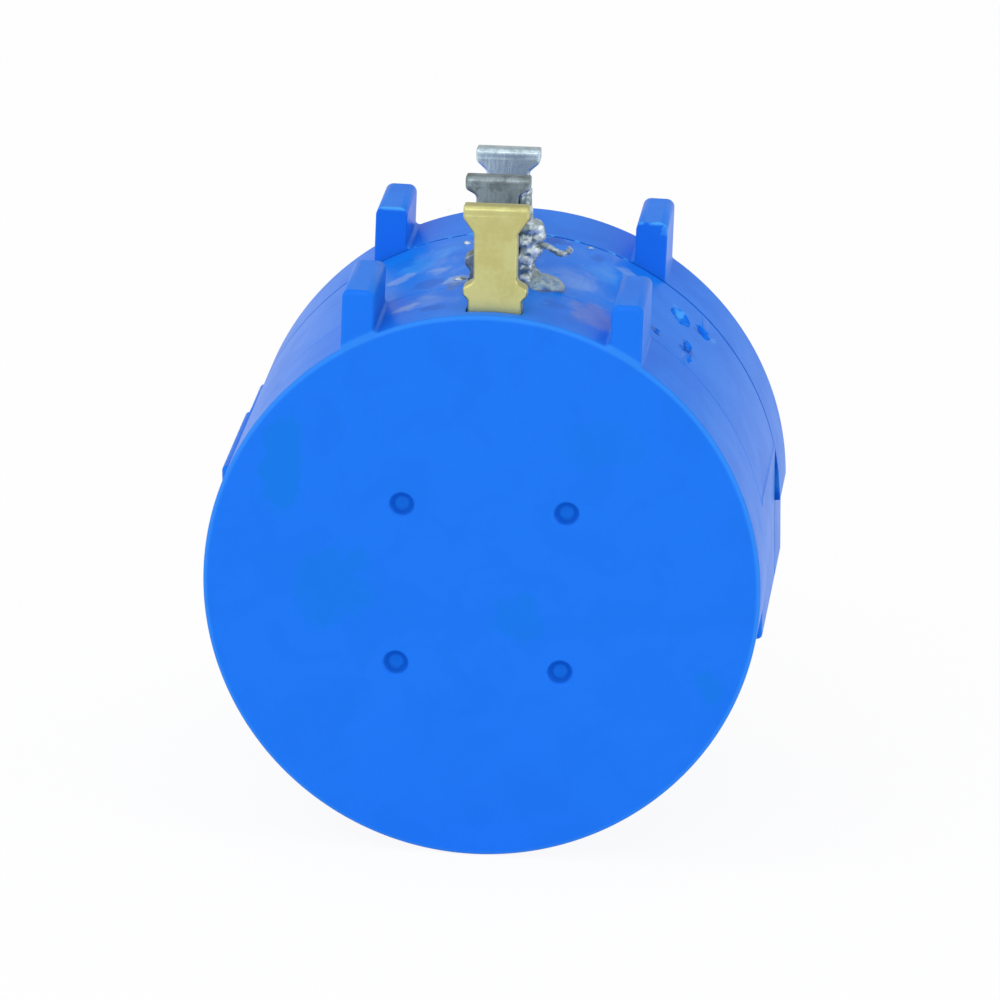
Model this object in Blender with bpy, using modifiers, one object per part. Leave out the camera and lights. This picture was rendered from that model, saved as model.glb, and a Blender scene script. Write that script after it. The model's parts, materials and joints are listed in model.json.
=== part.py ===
"""Multi-turn precision potentiometer, modelled as its separate pieces, in metres.

The shaft lies on the Y axis and points to +Y. The mounting face of the front lid lies at
y = 0, so everything behind the panel has a negative y, and the solder lugs point to +Z.
The wiper stands at the middle of its travel.
"""

import math

import bmesh
import bpy

MM = 0.001

# Housing: a front lid, a barrel and a rear cap.
BODY_RADIUS = 11.11 * MM
BODY_LENGTH = 19.05 * MM
LID_DEPTH = 4.59 * MM
LID_PLATE = 1.2 * MM
CAP_PLATE = 1.0 * MM
SKIRT_WALL = 1.15 * MM
SPIGOT_WALL = 0.85 * MM
SPIGOT_REACH = 2.0 * MM
EDGE_ROUND = 0.3 * MM
SEAM_GAP = 0.08 * MM

# Clearances: between pieces that are fixed together, and between pieces that run past
# each other.
FIT_GAP = 0.05 * MM
RUN_GAP = 0.1 * MM

# Ears on the lid and on the cap, on both sides of the lugs.
EAR_WIDTH = 1.29 * MM
EAR_SPACING = 9.38 * MM
EAR_TOP = 0.72 * MM
EAR_ROOT = 0.75 * MM
EAR_ROUND = 0.35 * MM
EAR_SETBACK = 0.02 * MM

# Flats on the two sides of the lid and the barrel.
FLAT_HEIGHT = 5.9 * MM
LID_FLAT_INSET = 0.17 * MM
BARREL_FLAT_INSET = 0.09 * MM

# Dimples in the rear face.
DIMPLE_SPACING = 6.58 * MM
DIMPLE_RADIUS = 0.525 * MM
DIMPLE_DEPTH = 0.26 * MM

# Bushing, and the nub that keeps the body from turning in its panel.
THREAD_RADIUS = 4.7625 * MM
BUSHING_LENGTH = 7.92 * MM
BUSHING_CHAMFER = 0.4 * MM
THREAD_PITCH = 0.794 * MM
THREAD_DEPTH = 0.43 * MM
THREAD_CREST = 0.12 * MM
THREAD_ROOT = 0.18 * MM
THREAD_START = 0.5 * MM
COLLAR_WIDTH = 1.4 * MM
COLLAR_DEPTH = 0.8 * MM
NUB_CIRCLE = 7.9 * MM
NUB_RADIUS = 0.5 * MM
NUB_HEIGHT = 1.02 * MM

# Shaft.
SHAFT_RADIUS = 3.175 * MM
SHAFT_REACH = 20.62 * MM
SHAFT_CHAMFER = 0.45 * MM
SHAFT_SLOT_WIDTH = 1.0 * MM
SHAFT_SLOT_DEPTH = 1.2 * MM
CORE_RADIUS = 2.0 * MM
JOURNAL_RADIUS = 1.5 * MM
JOURNAL_SEAT = 0.35 * MM
BEARING_WALL = 1.4 * MM
BEARING_HEIGHT = 0.65 * MM

# Washers and the open ring that hold the shaft in place.
FRONT_WASHER = 0.25 * MM
REAR_WASHER = 0.3 * MM
WASHER_WIDTH = 1.4 * MM
RING_THICKNESS = 0.45 * MM
RING_GROOVE = 0.45 * MM
RING_WIDTH = 1.6 * MM
RING_OPENING = 3.2 * MM
RING_LAND = 0.42 * MM

# Rotor: a spool on the shaft with two rods that the wiper carriage slides on.
SPOOL_FLANGE = 0.9 * MM
SPOOL_WALL = 0.9 * MM
ROD_RADIUS = 0.4 * MM
ROD_SPACING = 2.0 * MM
ROD_DEPTH = 2.1 * MM
RUNNING_FIT = 0.04 * MM
SLIP_RING_DEPTH = 0.3 * MM
SLIP_RING_WIDTH = 1.8 * MM
BRUSH_ROOM = 0.85 * MM
BRUSH_REACH = 0.6 * MM

# Resistance element, and the carriage whose contact follows its turns.
TURNS = 10
COIL_WIRE = 0.27 * MM
CARRIAGE_LENGTH = 2.0 * MM
CARRIAGE_WIDTH = 3.2 * MM
CARRIAGE_FLOOR = 0.9 * MM
SHOULDER_HEIGHT = 1.25 * MM
CONTACT_WIDTH = 1.0 * MM
LEAF = 0.15 * MM
STOP_OVERLAP = 0.75 * MM
STOP_WIDTH = 1.3 * MM

# Solder lugs: one in the cap and two in the barrel, the middle one halfway between the
# others. The insets lie at the rear face and at the lid's seam.
REAR_LUG_INSET = 1.19 * MM
FRONT_LUG_INSET = 3.11 * MM
SEAM_BEHIND_LUG = 1.07 * MM
BARREL_LUG_SHIFT = -0.35 * MM
LUG_THICKNESS = 0.85 * MM
LUG_HEIGHT = 4.29 * MM
LUG_CORNER = 0.11 * MM
LUG_HEAD = 2.6 * MM
LUG_HEAD_HEIGHT = 0.55 * MM
LUG_NECK_HEIGHT = 0.75 * MM
LUG_WAIST = 1.72 * MM
LUG_SHOULDER = 2.56 * MM
LUG_SHOULDER_RISE = 0.5 * MM
LUG_SHOULDER_HEIGHT = 0.45 * MM
LUG_SHOULDER_TAPER = 0.25 * MM
LUG_FOOT = 2.15 * MM
LUG_FOOT_TAPER = 0.15 * MM
LEAD_THICKNESS = 0.22 * MM
LEAD_WIDTH = 1.0 * MM
SPRING_THICKNESS = 0.18 * MM

# What an earlier joint left on the middle lug.
SOLDER_RADIUS = 0.26 * MM
SOLDER_BEAD = 0.42 * MM
SOLDER_BEADS = (0.9, 0.7, 1.0, 0.8, 1.1)
SOLDER_LEAN = 0.2 * MM
WIRE_RADIUS = 0.14 * MM
WIRE_LEVEL = 1.09 * MM
WIRE_STEP = 0.35 * MM
WIRE_DROP = 0.15 * MM

BODY_SEGMENTS = 64
SMALL_SEGMENTS = 32
FINE_SEGMENTS = 16
COIL_POINTS = 20

# Everything below follows from the sizes above.
REAR_Y = -BODY_LENGTH
REAR_LUG_Y = REAR_Y + REAR_LUG_INSET
FRONT_LUG_Y = -LID_DEPTH - FRONT_LUG_INSET
MIDDLE_LUG_Y = (REAR_LUG_Y + FRONT_LUG_Y) / 2
CAP_SEAM_Y = MIDDLE_LUG_Y - SEAM_BEHIND_LUG
CAP_FLOOR_Y = REAR_Y + CAP_PLATE
SKIRT_RADIUS = BODY_RADIUS - SKIRT_WALL
SPIGOT_RADIUS = SKIRT_RADIUS - FIT_GAP
BORE_RADIUS = SPIGOT_RADIUS - SPIGOT_WALL

COLLAR_RADIUS = THREAD_RADIUS + COLLAR_WIDTH
COLLAR_REAR_Y = -(LID_PLATE + FIT_GAP + COLLAR_DEPTH)
FRONT_WASHER_Y = COLLAR_REAR_Y - FIT_GAP
RING_Y = FRONT_WASHER_Y - FRONT_WASHER - FIT_GAP
SPOOL_FRONT_Y = RING_Y - RING_THICKNESS - RING_LAND
SLIP_RING_REAR_Y = CAP_FLOOR_Y + BRUSH_ROOM
SPOOL_REAR_Y = SLIP_RING_REAR_Y + SLIP_RING_DEPTH + FIT_GAP
BEARING_Y = CAP_FLOOR_Y + BEARING_HEIGHT
REAR_WASHER_Y = BEARING_Y + FIT_GAP + REAR_WASHER

TRAVEL = SPOOL_FRONT_Y - SPOOL_REAR_Y - 2 * SPOOL_FLANGE - CARRIAGE_LENGTH - 2 * RUN_GAP
COIL_RADIUS = BORE_RADIUS * math.cos(math.pi / BODY_SEGMENTS) - FIT_GAP - COIL_WIRE
CONTACT_RADIUS = COIL_RADIUS * math.cos(math.pi / COIL_POINTS) - COIL_WIRE - FIT_GAP
MIDDLE_Y = (SPOOL_FRONT_Y + SPOOL_REAR_Y) / 2
COIL_FRONT_Y = MIDDLE_Y + TRAVEL / 2
COIL_REAR_Y = MIDDLE_Y - TRAVEL / 2

CARRIAGE_TOP = math.sqrt(CONTACT_RADIUS**2 - (CARRIAGE_WIDTH / 2) ** 2)
STOP_BOTTOM = CARRIAGE_TOP - SHOULDER_HEIGHT + RUN_GAP
SPOOL_RADIUS = math.hypot(STOP_BOTTOM, CARRIAGE_WIDTH / 2) - RUN_GAP
SLIP_RING_RADIUS = SPOOL_RADIUS - FIT_GAP - SLIP_RING_WIDTH / 2
ROD_HEIGHT = CARRIAGE_TOP - ROD_DEPTH
CARRIAGE_BOTTOM = ROD_HEIGHT - CARRIAGE_FLOOR
STOP_SIDE = CARRIAGE_WIDTH / 2 + RUN_GAP
STOP_TOP = math.sqrt((BORE_RADIUS - RUN_GAP) ** 2 - (STOP_SIDE + STOP_WIDTH) ** 2)

LEAD_Z = COIL_RADIUS + COIL_WIRE + FIT_GAP + LEAD_THICKNESS / 2
LEAD_RISE = 0.1 * MM
CHANNEL_TOP = LEAD_Z + LEAD_RISE + LEAD_THICKNESS / 2 + RUN_GAP
BARREL_LUG_FOOT_Z = LEAD_Z + LEAD_RISE + LEAD_THICKNESS / 2 + FIT_GAP
CAP_LUG_FOOT_Z = SKIRT_RADIUS - SKIRT_WALL / 2


def clear_scene():
    """Removes whatever the scene holds."""
    for obj in list(bpy.data.objects):
        bpy.data.objects.remove(obj, do_unlink=True)


clear_scene()
PARTS = bpy.data.collections.new("multiturn_potentiometer")
HELPERS = bpy.data.collections.new("cutters_and_joined_shapes")
for group in (PARTS, HELPERS):
    bpy.context.scene.collection.children.link(group)


def linear(channel):
    """A channel from 0 to 255, made linear."""
    value = channel / 255
    return value / 12.92 if value <= 0.04045 else ((value + 0.055) / 1.055) ** 2.4


def material(name, colour, roughness, metallic=0.0):
    """A Principled BSDF with a plain colour."""
    made = bpy.data.materials.new(name)
    made.use_nodes = True
    shader = made.node_tree.nodes["Principled BSDF"]
    shader.inputs["Base Color"].default_value = (*map(linear, colour), 1.0)
    shader.inputs["Roughness"].default_value = roughness
    shader.inputs["Metallic"].default_value = metallic
    return made


BLUE = material("blue_plastic", (36, 120, 240), 0.42)
PALE = material("natural_plastic", (226, 220, 204), 0.5)
BRASS = material("brass", (191, 180, 118), 0.38, 1.0)
TINNED = material("tinned_brass", (150, 164, 174), 0.4, 1.0)
SOLDER = material("solder", (142, 152, 160), 0.35, 1.0)
STEEL = material("steel", (176, 178, 182), 0.3, 1.0)
NICKEL = material("nickel", (196, 192, 180), 0.28, 1.0)
RESISTANCE = material("resistance_wire", (148, 118, 92), 0.4, 1.0)


def add(name, data, finish=None, parent=None):
    """Links an object: a part when it has a finish, otherwise a helper that isn't rendered."""
    obj = bpy.data.objects.new(name, data)
    if finish is None:
        HELPERS.objects.link(obj)
        obj.hide_render = True
        obj.display_type = "WIRE"
    else:
        PARTS.objects.link(obj)
        data.materials.append(finish)
    obj.parent = parent
    return obj


def axis_empty(name, y, parent=None):
    """An empty on the shaft's axis that carries one body's pieces."""
    empty = bpy.data.objects.new(name, None)
    PARTS.objects.link(empty)
    empty.empty_display_size = 2 * MM
    empty.parent = parent
    empty.location.y = y
    return empty


HOUSING = axis_empty("housing", 0.0)
ROTOR = axis_empty("rotor", 0.0, HOUSING)
CARRIAGE = axis_empty("carriage", MIDDLE_Y, ROTOR)


def turned(name, profile, finish=None, parent=None, segments=SMALL_SEGMENTS):
    """A solid turned about the Y axis. The profile's points are (radius, y), and it runs
    to the rear along its outer side. It is closed unless it starts on the axis."""
    count = len(profile)
    edges = [(i, (i + 1) % count) for i in range(count if profile[0][0] else count - 1)]
    mesh = bpy.data.meshes.new(name)
    mesh.from_pydata([(radius, 0.0, y) for radius, y in profile], edges, [])
    obj = add(name, mesh, finish, parent)
    obj.rotation_euler.x = -math.pi / 2
    screw = obj.modifiers.new("Turn", "SCREW")
    screw.steps = screw.render_steps = segments
    screw.use_merge_vertices = True
    screw.merge_threshold = 0.001 * MM
    screw.use_smooth_shade = False
    return obj


def block(name, low, high, finish=None, parent=None):
    """A rectangular block between two corners."""
    mesh = bpy.data.meshes.new(name)
    shape = bmesh.new()
    bmesh.ops.create_cube(shape, size=1.0)
    for vert in shape.verts:
        vert.co = [(a + b) / 2 + c * (b - a) for a, b, c in zip(low, high, vert.co)]
    shape.to_mesh(mesh)
    shape.free()
    return add(name, mesh, finish, parent)


def rod(name, x, z, radius, front, rear, finish=None, parent=None, segments=FINE_SEGMENTS):
    """A round rod along Y between two values of y."""
    mesh = bpy.data.meshes.new(name)
    shape = bmesh.new()
    bmesh.ops.create_cone(
        shape, cap_ends=True, segments=segments, radius1=radius, radius2=radius,
        depth=front - rear,
    )
    shape.to_mesh(mesh)
    shape.free()
    obj = add(name, mesh, finish, parent)
    obj.rotation_euler.x = -math.pi / 2
    obj.location = (x, (front + rear) / 2, z)
    return obj


def plate(name, outline, thickness, centre, turn, finish=None, parent=None):
    """A flat outline with a thickness. A helper is made a mesh, so that it can be joined."""
    curve = bpy.data.curves.new(name, "CURVE")
    curve.dimensions = "2D"
    curve.fill_mode = "BOTH"
    curve.extrude = thickness / 2
    spline = curve.splines.new("POLY")
    spline.points.add(len(outline) - 1)
    for point, (a, b) in zip(spline.points, outline):
        point.co = (a, b, 0.0, 1.0)
    spline.use_cyclic_u = True
    obj = add(name, curve, finish, parent)
    obj.location = centre
    obj.rotation_euler = turn
    return obj if finish else as_mesh(obj)


def as_mesh(obj):
    """The same object with its curve turned into one welded mesh."""
    name, matrix = obj.name, obj.matrix_basis.copy()
    graph = bpy.context.evaluated_depsgraph_get()
    graph.update()
    mesh = bpy.data.meshes.new_from_object(obj.evaluated_get(graph))
    shape = bmesh.new()
    shape.from_mesh(mesh)
    bmesh.ops.remove_doubles(shape, verts=shape.verts, dist=0.0001 * MM)
    bmesh.ops.recalc_face_normals(shape, faces=shape.faces)
    shape.to_mesh(mesh)
    shape.free()
    bpy.data.objects.remove(obj, do_unlink=True)
    made = add(name, mesh)
    made.matrix_basis = matrix
    return made


ACROSS = (math.pi / 2, 0.0, 0.0)
ALONG = (math.pi / 2, 0.0, math.pi / 2)


def strip_outline(path, thickness):
    """The outline of a strip of even thickness along a path."""
    sides = ([], [])
    for i, (x, y) in enumerate(path):
        before, after = path[max(i - 1, 0)], path[min(i + 1, len(path) - 1)]
        runs = []
        for start, end in ((before, (x, y)), ((x, y), after)):
            length = math.dist(start, end)
            if length:
                runs.append(((start[1] - end[1]) / length, (end[0] - start[0]) / length))
        normal = [sum(values) for values in zip(*runs)]
        reach = thickness / 2 * len(runs) / (normal[0] ** 2 + normal[1] ** 2)
        for side, sign in zip(sides, (1, -1)):
            side.append((x + sign * reach * normal[0], y + sign * reach * normal[1]))
    return sides[0] + sides[1][::-1]


def tube(name, points, radius, finish, parent, swell=None, sides=2):
    """A round tube through points, thicker or thinner where swell says so."""
    curve = bpy.data.curves.new(name, "CURVE")
    curve.dimensions = "3D"
    curve.bevel_depth = radius
    curve.bevel_resolution = sides
    curve.use_fill_caps = True
    spline = curve.splines.new("POLY")
    spline.points.add(len(points) - 1)
    for i, (point, place) in enumerate(zip(spline.points, points)):
        point.co = (*place, 1.0)
        point.radius = swell[i] if swell else 1.0
    return add(name, curve, finish, parent)


def joined(target, tool, operation="UNION"):
    """Adds a helper's shape to a part, or cuts it out."""
    modifier = target.modifiers.new(tool.name, "BOOLEAN")
    modifier.object = tool
    modifier.operation = operation
    modifier.solver = "EXACT"


def cut(target, tool):
    """Cuts a helper's shape out of a part."""
    joined(target, tool, "DIFFERENCE")


def ear_outline(side):
    """An ear's section: its root lies inside the skirt, and its top corners are rounded."""
    inner, outer = EAR_SPACING / 2, EAR_SPACING / 2 + EAR_WIDTH
    top = BODY_RADIUS + EAR_TOP
    root = math.sqrt(BODY_RADIUS**2 - outer**2) - EAR_ROOT / 2
    steps = 3
    corner = [
        (EAR_ROUND * math.cos(turn), EAR_ROUND * math.sin(turn))
        for turn in (math.pi / 2 * i / steps for i in range(steps + 1))
    ]
    right = [(outer - EAR_ROUND + a, top - EAR_ROUND + b) for a, b in corner]
    left = [(inner + EAR_ROUND - a, top - EAR_ROUND + b) for a, b in reversed(corner)]
    return [(side * x, z) for x, z in [(outer, root), *right, *left, (inner, root)]]


def add_ears(target, front, rear):
    """Two ears along the whole skirt of the lid or the cap."""
    for side in (-1, 1):
        name = f"{target.name}_ear_{'left' if side < 0 else 'right'}"
        centre = (0.0, (front + rear) / 2, 0.0)
        length = front - rear - 2 * EAR_SETBACK
        joined(target, plate(name, ear_outline(side), length, centre, ACROSS))


def add_flats(target, front, rear, inset):
    """A flat on each side, as high as FLAT_HEIGHT, whose edges stand a little proud."""
    half = FLAT_HEIGHT / 2
    face = BODY_RADIUS - inset
    middle = SKIRT_RADIUS + SKIRT_WALL / 2
    for side in (-1, 1):
        ends = sorted((side * middle, side * (BODY_RADIUS + 2 * EDGE_ROUND)))
        pad = block(
            f"{target.name}_pad_{'left' if side < 0 else 'right'}",
            (ends[0], rear + EAR_SETBACK, -half), (ends[1], front - EAR_SETBACK, half),
        )
        ends = sorted((side * face, side * (BODY_RADIUS + SKIRT_WALL)))
        shave = block(
            f"{target.name}_flat_{'left' if side < 0 else 'right'}",
            (ends[0], rear - RUN_GAP, -half - RUN_GAP), (ends[1], front + RUN_GAP, half + RUN_GAP),
        )
        joined(target, pad)
        cut(target, shave)


def stop_block(target, side, front, rear):
    """A stop that stands in the way of the carriage's shoulder at one end of its travel."""
    ends = sorted((side * STOP_SIDE, side * (STOP_SIDE + STOP_WIDTH)))
    joined(
        target,
        block(f"{target.name}_stop", (ends[0], rear, STOP_BOTTOM), (ends[1], front, STOP_TOP)),
    )


def lug_slot(target, y, shift, foot_z):
    """The slot that a lug's foot goes through."""
    half = LUG_FOOT / 2 + FIT_GAP
    deep = LUG_THICKNESS / 2 + FIT_GAP
    cut(
        target,
        block(
            f"{target.name}_slot_{round(-y / MM)}",
            (shift - half, y - deep, foot_z - FIT_GAP),
            (shift + half, y + deep, BODY_RADIUS + EAR_TOP),
        ),
    )


def front_lid():
    """The lid with the bushing's hole, its ears, side flats, nub and front stop."""
    hole = THREAD_RADIUS + FIT_GAP
    lid = turned(
        "front_lid",
        [
            (hole, 0.0),
            (BODY_RADIUS - EDGE_ROUND, 0.0),
            (BODY_RADIUS, -EDGE_ROUND),
            (BODY_RADIUS, -LID_DEPTH),
            (SKIRT_RADIUS, -LID_DEPTH),
            (SKIRT_RADIUS, -LID_PLATE),
            (hole, -LID_PLATE),
        ],
        BLUE, HOUSING, BODY_SEGMENTS,
    )
    add_ears(lid, 0.0, -LID_DEPTH)
    add_flats(lid, 0.0, -LID_DEPTH, LID_FLAT_INSET)
    rear = COIL_FRONT_Y + CARRIAGE_LENGTH / 2 - STOP_OVERLAP
    stop_block(lid, 1, -LID_PLATE / 2, rear)
    nub = rod("front_lid_nub", -NUB_CIRCLE, 0.0, NUB_RADIUS, NUB_HEIGHT, -LID_PLATE / 2)
    joined(lid, nub)


def barrel():
    """The middle of the housing, with a spigot in the lid and one in the cap."""
    front, rear = -LID_DEPTH - SEAM_GAP, CAP_SEAM_Y + SEAM_GAP
    part = turned(
        "barrel",
        [
            (SPIGOT_RADIUS, -LID_DEPTH + SPIGOT_REACH),
            (SPIGOT_RADIUS, front),
            (BODY_RADIUS, front),
            (BODY_RADIUS, rear),
            (SPIGOT_RADIUS, rear),
            (SPIGOT_RADIUS, CAP_SEAM_Y - SPIGOT_REACH),
            (BORE_RADIUS, CAP_SEAM_Y - SPIGOT_REACH),
            (BORE_RADIUS, -LID_DEPTH + SPIGOT_REACH),
        ],
        BLUE, HOUSING, BODY_SEGMENTS,
    )
    add_flats(part, front, rear, BARREL_FLAT_INSET)
    half = LEAD_WIDTH / 2 + RUN_GAP
    ends = (COIL_REAR_Y - LEAD_WIDTH, COIL_FRONT_Y + LEAD_WIDTH / 2)
    channel = block(
        "barrel_channel",
        (-half, ends[0], BORE_RADIUS - SPIGOT_WALL), (half, ends[1], CHANNEL_TOP),
    )
    cut(part, channel)
    for y in (MIDDLE_LUG_Y, FRONT_LUG_Y):
        lug_slot(part, y, BARREL_LUG_SHIFT, BARREL_LUG_FOOT_Z - RUN_GAP)


def rear_cap():
    """The cap with its bearing, ears, dimples, slot and rear stop."""
    bearing = JOURNAL_RADIUS + RUNNING_FIT
    socket = CAP_FLOOR_Y - JOURNAL_SEAT
    cap = turned(
        "rear_cap",
        [
            (0.0, socket),
            (bearing, socket),
            (bearing, BEARING_Y),
            (bearing + BEARING_WALL, BEARING_Y),
            (bearing + BEARING_WALL, CAP_FLOOR_Y),
            (SKIRT_RADIUS, CAP_FLOOR_Y),
            (SKIRT_RADIUS, CAP_SEAM_Y),
            (BODY_RADIUS, CAP_SEAM_Y),
            (BODY_RADIUS, REAR_Y + EDGE_ROUND),
            (BODY_RADIUS - EDGE_ROUND, REAR_Y),
            (0.0, REAR_Y),
        ],
        BLUE, HOUSING, BODY_SEGMENTS,
    )
    add_ears(cap, CAP_SEAM_Y, REAR_Y)
    front = COIL_REAR_Y - CARRIAGE_LENGTH / 2 + STOP_OVERLAP
    stop_block(cap, -1, front, CAP_FLOOR_Y - CAP_PLATE / 2)
    lug_slot(cap, REAR_LUG_Y, 0.0, CAP_LUG_FOOT_Z)
    ball = (DIMPLE_RADIUS**2 + DIMPLE_DEPTH**2) / (2 * DIMPLE_DEPTH)
    for i in range(4):
        mesh = bpy.data.meshes.new(f"dimple_{i}")
        shape = bmesh.new()
        bmesh.ops.create_uvsphere(shape, u_segments=12, v_segments=12, radius=ball)
        shape.to_mesh(mesh)
        shape.free()
        dimple = add(f"dimple_{i}", mesh)
        dimple.rotation_euler.x = math.pi / 2
        dimple.location = (
            DIMPLE_SPACING / 2 * (-1) ** i,
            REAR_Y + DIMPLE_DEPTH - ball,
            DIMPLE_SPACING / 2 * (-1) ** (i // 2),
        )
        cut(cap, dimple)


def thread_groove():
    """The groove between the threads, from near the lid to past the bushing's end."""
    flank = (THREAD_PITCH - THREAD_CREST - THREAD_ROOT) / 2
    clear = FIT_GAP / 2
    wide = THREAD_ROOT / 2 + flank * (THREAD_DEPTH + clear) / THREAD_DEPTH
    middle = THREAD_START + THREAD_PITCH / 2
    turns = math.ceil((BUSHING_LENGTH - middle) / THREAD_PITCH) + 1
    shape = bmesh.new()
    section = [
        shape.verts.new((radius, middle + y, 0.0))
        for radius, y in (
            (THREAD_RADIUS + clear, -wide),
            (THREAD_RADIUS + clear, wide),
            (THREAD_RADIUS - THREAD_DEPTH, THREAD_ROOT / 2),
            (THREAD_RADIUS - THREAD_DEPTH, -THREAD_ROOT / 2),
        )
    ]
    face = shape.faces.new(section)
    bmesh.ops.spin(
        shape, geom=[face], axis=(0, 1, 0), cent=(0, 0, 0), angle=turns * 2 * math.pi,
        steps=turns * SMALL_SEGMENTS, dvec=(0, THREAD_PITCH / SMALL_SEGMENTS, 0),
    )
    bmesh.ops.recalc_face_normals(shape, faces=shape.faces[:])
    mesh = bpy.data.meshes.new("bushing_thread")
    shape.to_mesh(mesh)
    shape.free()
    return add("bushing_thread", mesh)


def bushing():
    """The threaded bushing that the panel's nut screws on, with its collar behind the lid."""
    bore = SHAFT_RADIUS + RUNNING_FIT
    part = turned(
        "bushing",
        [
            (bore, BUSHING_LENGTH),
            (THREAD_RADIUS - BUSHING_CHAMFER, BUSHING_LENGTH),
            (THREAD_RADIUS, BUSHING_LENGTH - BUSHING_CHAMFER),
            (THREAD_RADIUS, -LID_PLATE - FIT_GAP),
            (COLLAR_RADIUS, -LID_PLATE - FIT_GAP),
            (COLLAR_RADIUS, COLLAR_REAR_Y),
            (bore, COLLAR_REAR_Y),
        ],
        NICKEL, HOUSING,
    )
    cut(part, thread_groove())


def shaft():
    """The shaft, from its slotted end to the journal that turns in the cap."""
    groove = SHAFT_RADIUS - RING_GROOVE
    slack = FIT_GAP / 2
    part = turned(
        "shaft",
        [
            (0.0, SHAFT_REACH),
            (SHAFT_RADIUS - SHAFT_CHAMFER, SHAFT_REACH),
            (SHAFT_RADIUS, SHAFT_REACH - SHAFT_CHAMFER),
            (SHAFT_RADIUS, RING_Y + slack),
            (groove, RING_Y + slack),
            (groove, RING_Y - RING_THICKNESS - slack),
            (SHAFT_RADIUS, RING_Y - RING_THICKNESS - slack),
            (SHAFT_RADIUS, SPOOL_FRONT_Y + FIT_GAP),
            (CORE_RADIUS, SPOOL_FRONT_Y + FIT_GAP),
            (CORE_RADIUS, REAR_WASHER_Y + FIT_GAP),
            (JOURNAL_RADIUS, REAR_WASHER_Y + FIT_GAP),
            (JOURNAL_RADIUS, CAP_FLOOR_Y - JOURNAL_SEAT + FIT_GAP),
            (0.0, CAP_FLOOR_Y - JOURNAL_SEAT + FIT_GAP),
        ],
        STEEL, ROTOR,
    )
    slot = block(
        "shaft_slot",
        (-2 * SHAFT_RADIUS, SHAFT_REACH - SHAFT_SLOT_DEPTH, -SHAFT_SLOT_WIDTH / 2),
        (2 * SHAFT_RADIUS, SHAFT_REACH + SHAFT_SLOT_DEPTH, SHAFT_SLOT_WIDTH / 2),
    )
    cut(part, slot)


def ring(name, inner, width, front, thickness, finish, parent):
    """A flat washer."""
    return turned(
        name,
        [
            (inner, front),
            (inner + width, front),
            (inner + width, front - thickness),
            (inner, front - thickness),
        ],
        finish, parent,
    )


def washers_and_retaining_ring():
    """The washers at both ends of the shaft, and the open ring in its groove."""
    ring(
        "thrust_washer_front", SHAFT_RADIUS + RUNNING_FIT, WASHER_WIDTH,
        FRONT_WASHER_Y, FRONT_WASHER, BRASS, HOUSING,
    )
    ring(
        "thrust_washer_rear", JOURNAL_RADIUS + RUNNING_FIT, WASHER_WIDTH,
        REAR_WASHER_Y, REAR_WASHER, BRASS, HOUSING,
    )
    inner = SHAFT_RADIUS - RING_GROOVE + FIT_GAP
    clip = ring("retaining_ring", inner, RING_WIDTH, RING_Y, RING_THICKNESS, STEEL, ROTOR)
    half = RING_OPENING / 2
    deep = 2 * RING_THICKNESS
    cut(
        clip,
        block(
            "retaining_ring_opening",
            (-half, RING_Y - deep, -inner - 2 * RING_WIDTH), (half, RING_Y + deep, 0.0),
        ),
    )


def spool():
    """The rotor's spool, with holes in both flanges for the rods."""
    bore = CORE_RADIUS + FIT_GAP
    core = CORE_RADIUS + SPOOL_WALL
    part = turned(
        "rotor_spool",
        [
            (bore, SPOOL_FRONT_Y),
            (SPOOL_RADIUS, SPOOL_FRONT_Y),
            (SPOOL_RADIUS, SPOOL_FRONT_Y - SPOOL_FLANGE),
            (core, SPOOL_FRONT_Y - SPOOL_FLANGE),
            (core, SPOOL_REAR_Y + SPOOL_FLANGE),
            (SPOOL_RADIUS, SPOOL_REAR_Y + SPOOL_FLANGE),
            (SPOOL_RADIUS, SPOOL_REAR_Y),
            (bore, SPOOL_REAR_Y),
        ],
        PALE, ROTOR,
    )
    for side, name in ((-1, "guide_rod"), (1, "takeoff_rod")):
        x = side * ROD_SPACING / 2
        hole = rod(
            f"{name}_hole", x, ROD_HEIGHT, ROD_RADIUS + FIT_GAP,
            SPOOL_FRONT_Y + FIT_GAP, SPOOL_REAR_Y - FIT_GAP,
        )
        cut(part, hole)
    rod(
        "guide_rod", -ROD_SPACING / 2, ROD_HEIGHT, ROD_RADIUS,
        SPOOL_FRONT_Y, SPOOL_REAR_Y + SPOOL_FLANGE / 2, STEEL, ROTOR,
    )
    rod(
        "takeoff_rod", ROD_SPACING / 2, ROD_HEIGHT, ROD_RADIUS,
        SPOOL_FRONT_Y, SPOOL_REAR_Y, BRASS, ROTOR,
    )
    ring(
        "slip_ring", SLIP_RING_RADIUS - SLIP_RING_WIDTH / 2, SLIP_RING_WIDTH,
        SPOOL_REAR_Y - FIT_GAP, SLIP_RING_DEPTH, BRASS, ROTOR,
    )


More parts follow.
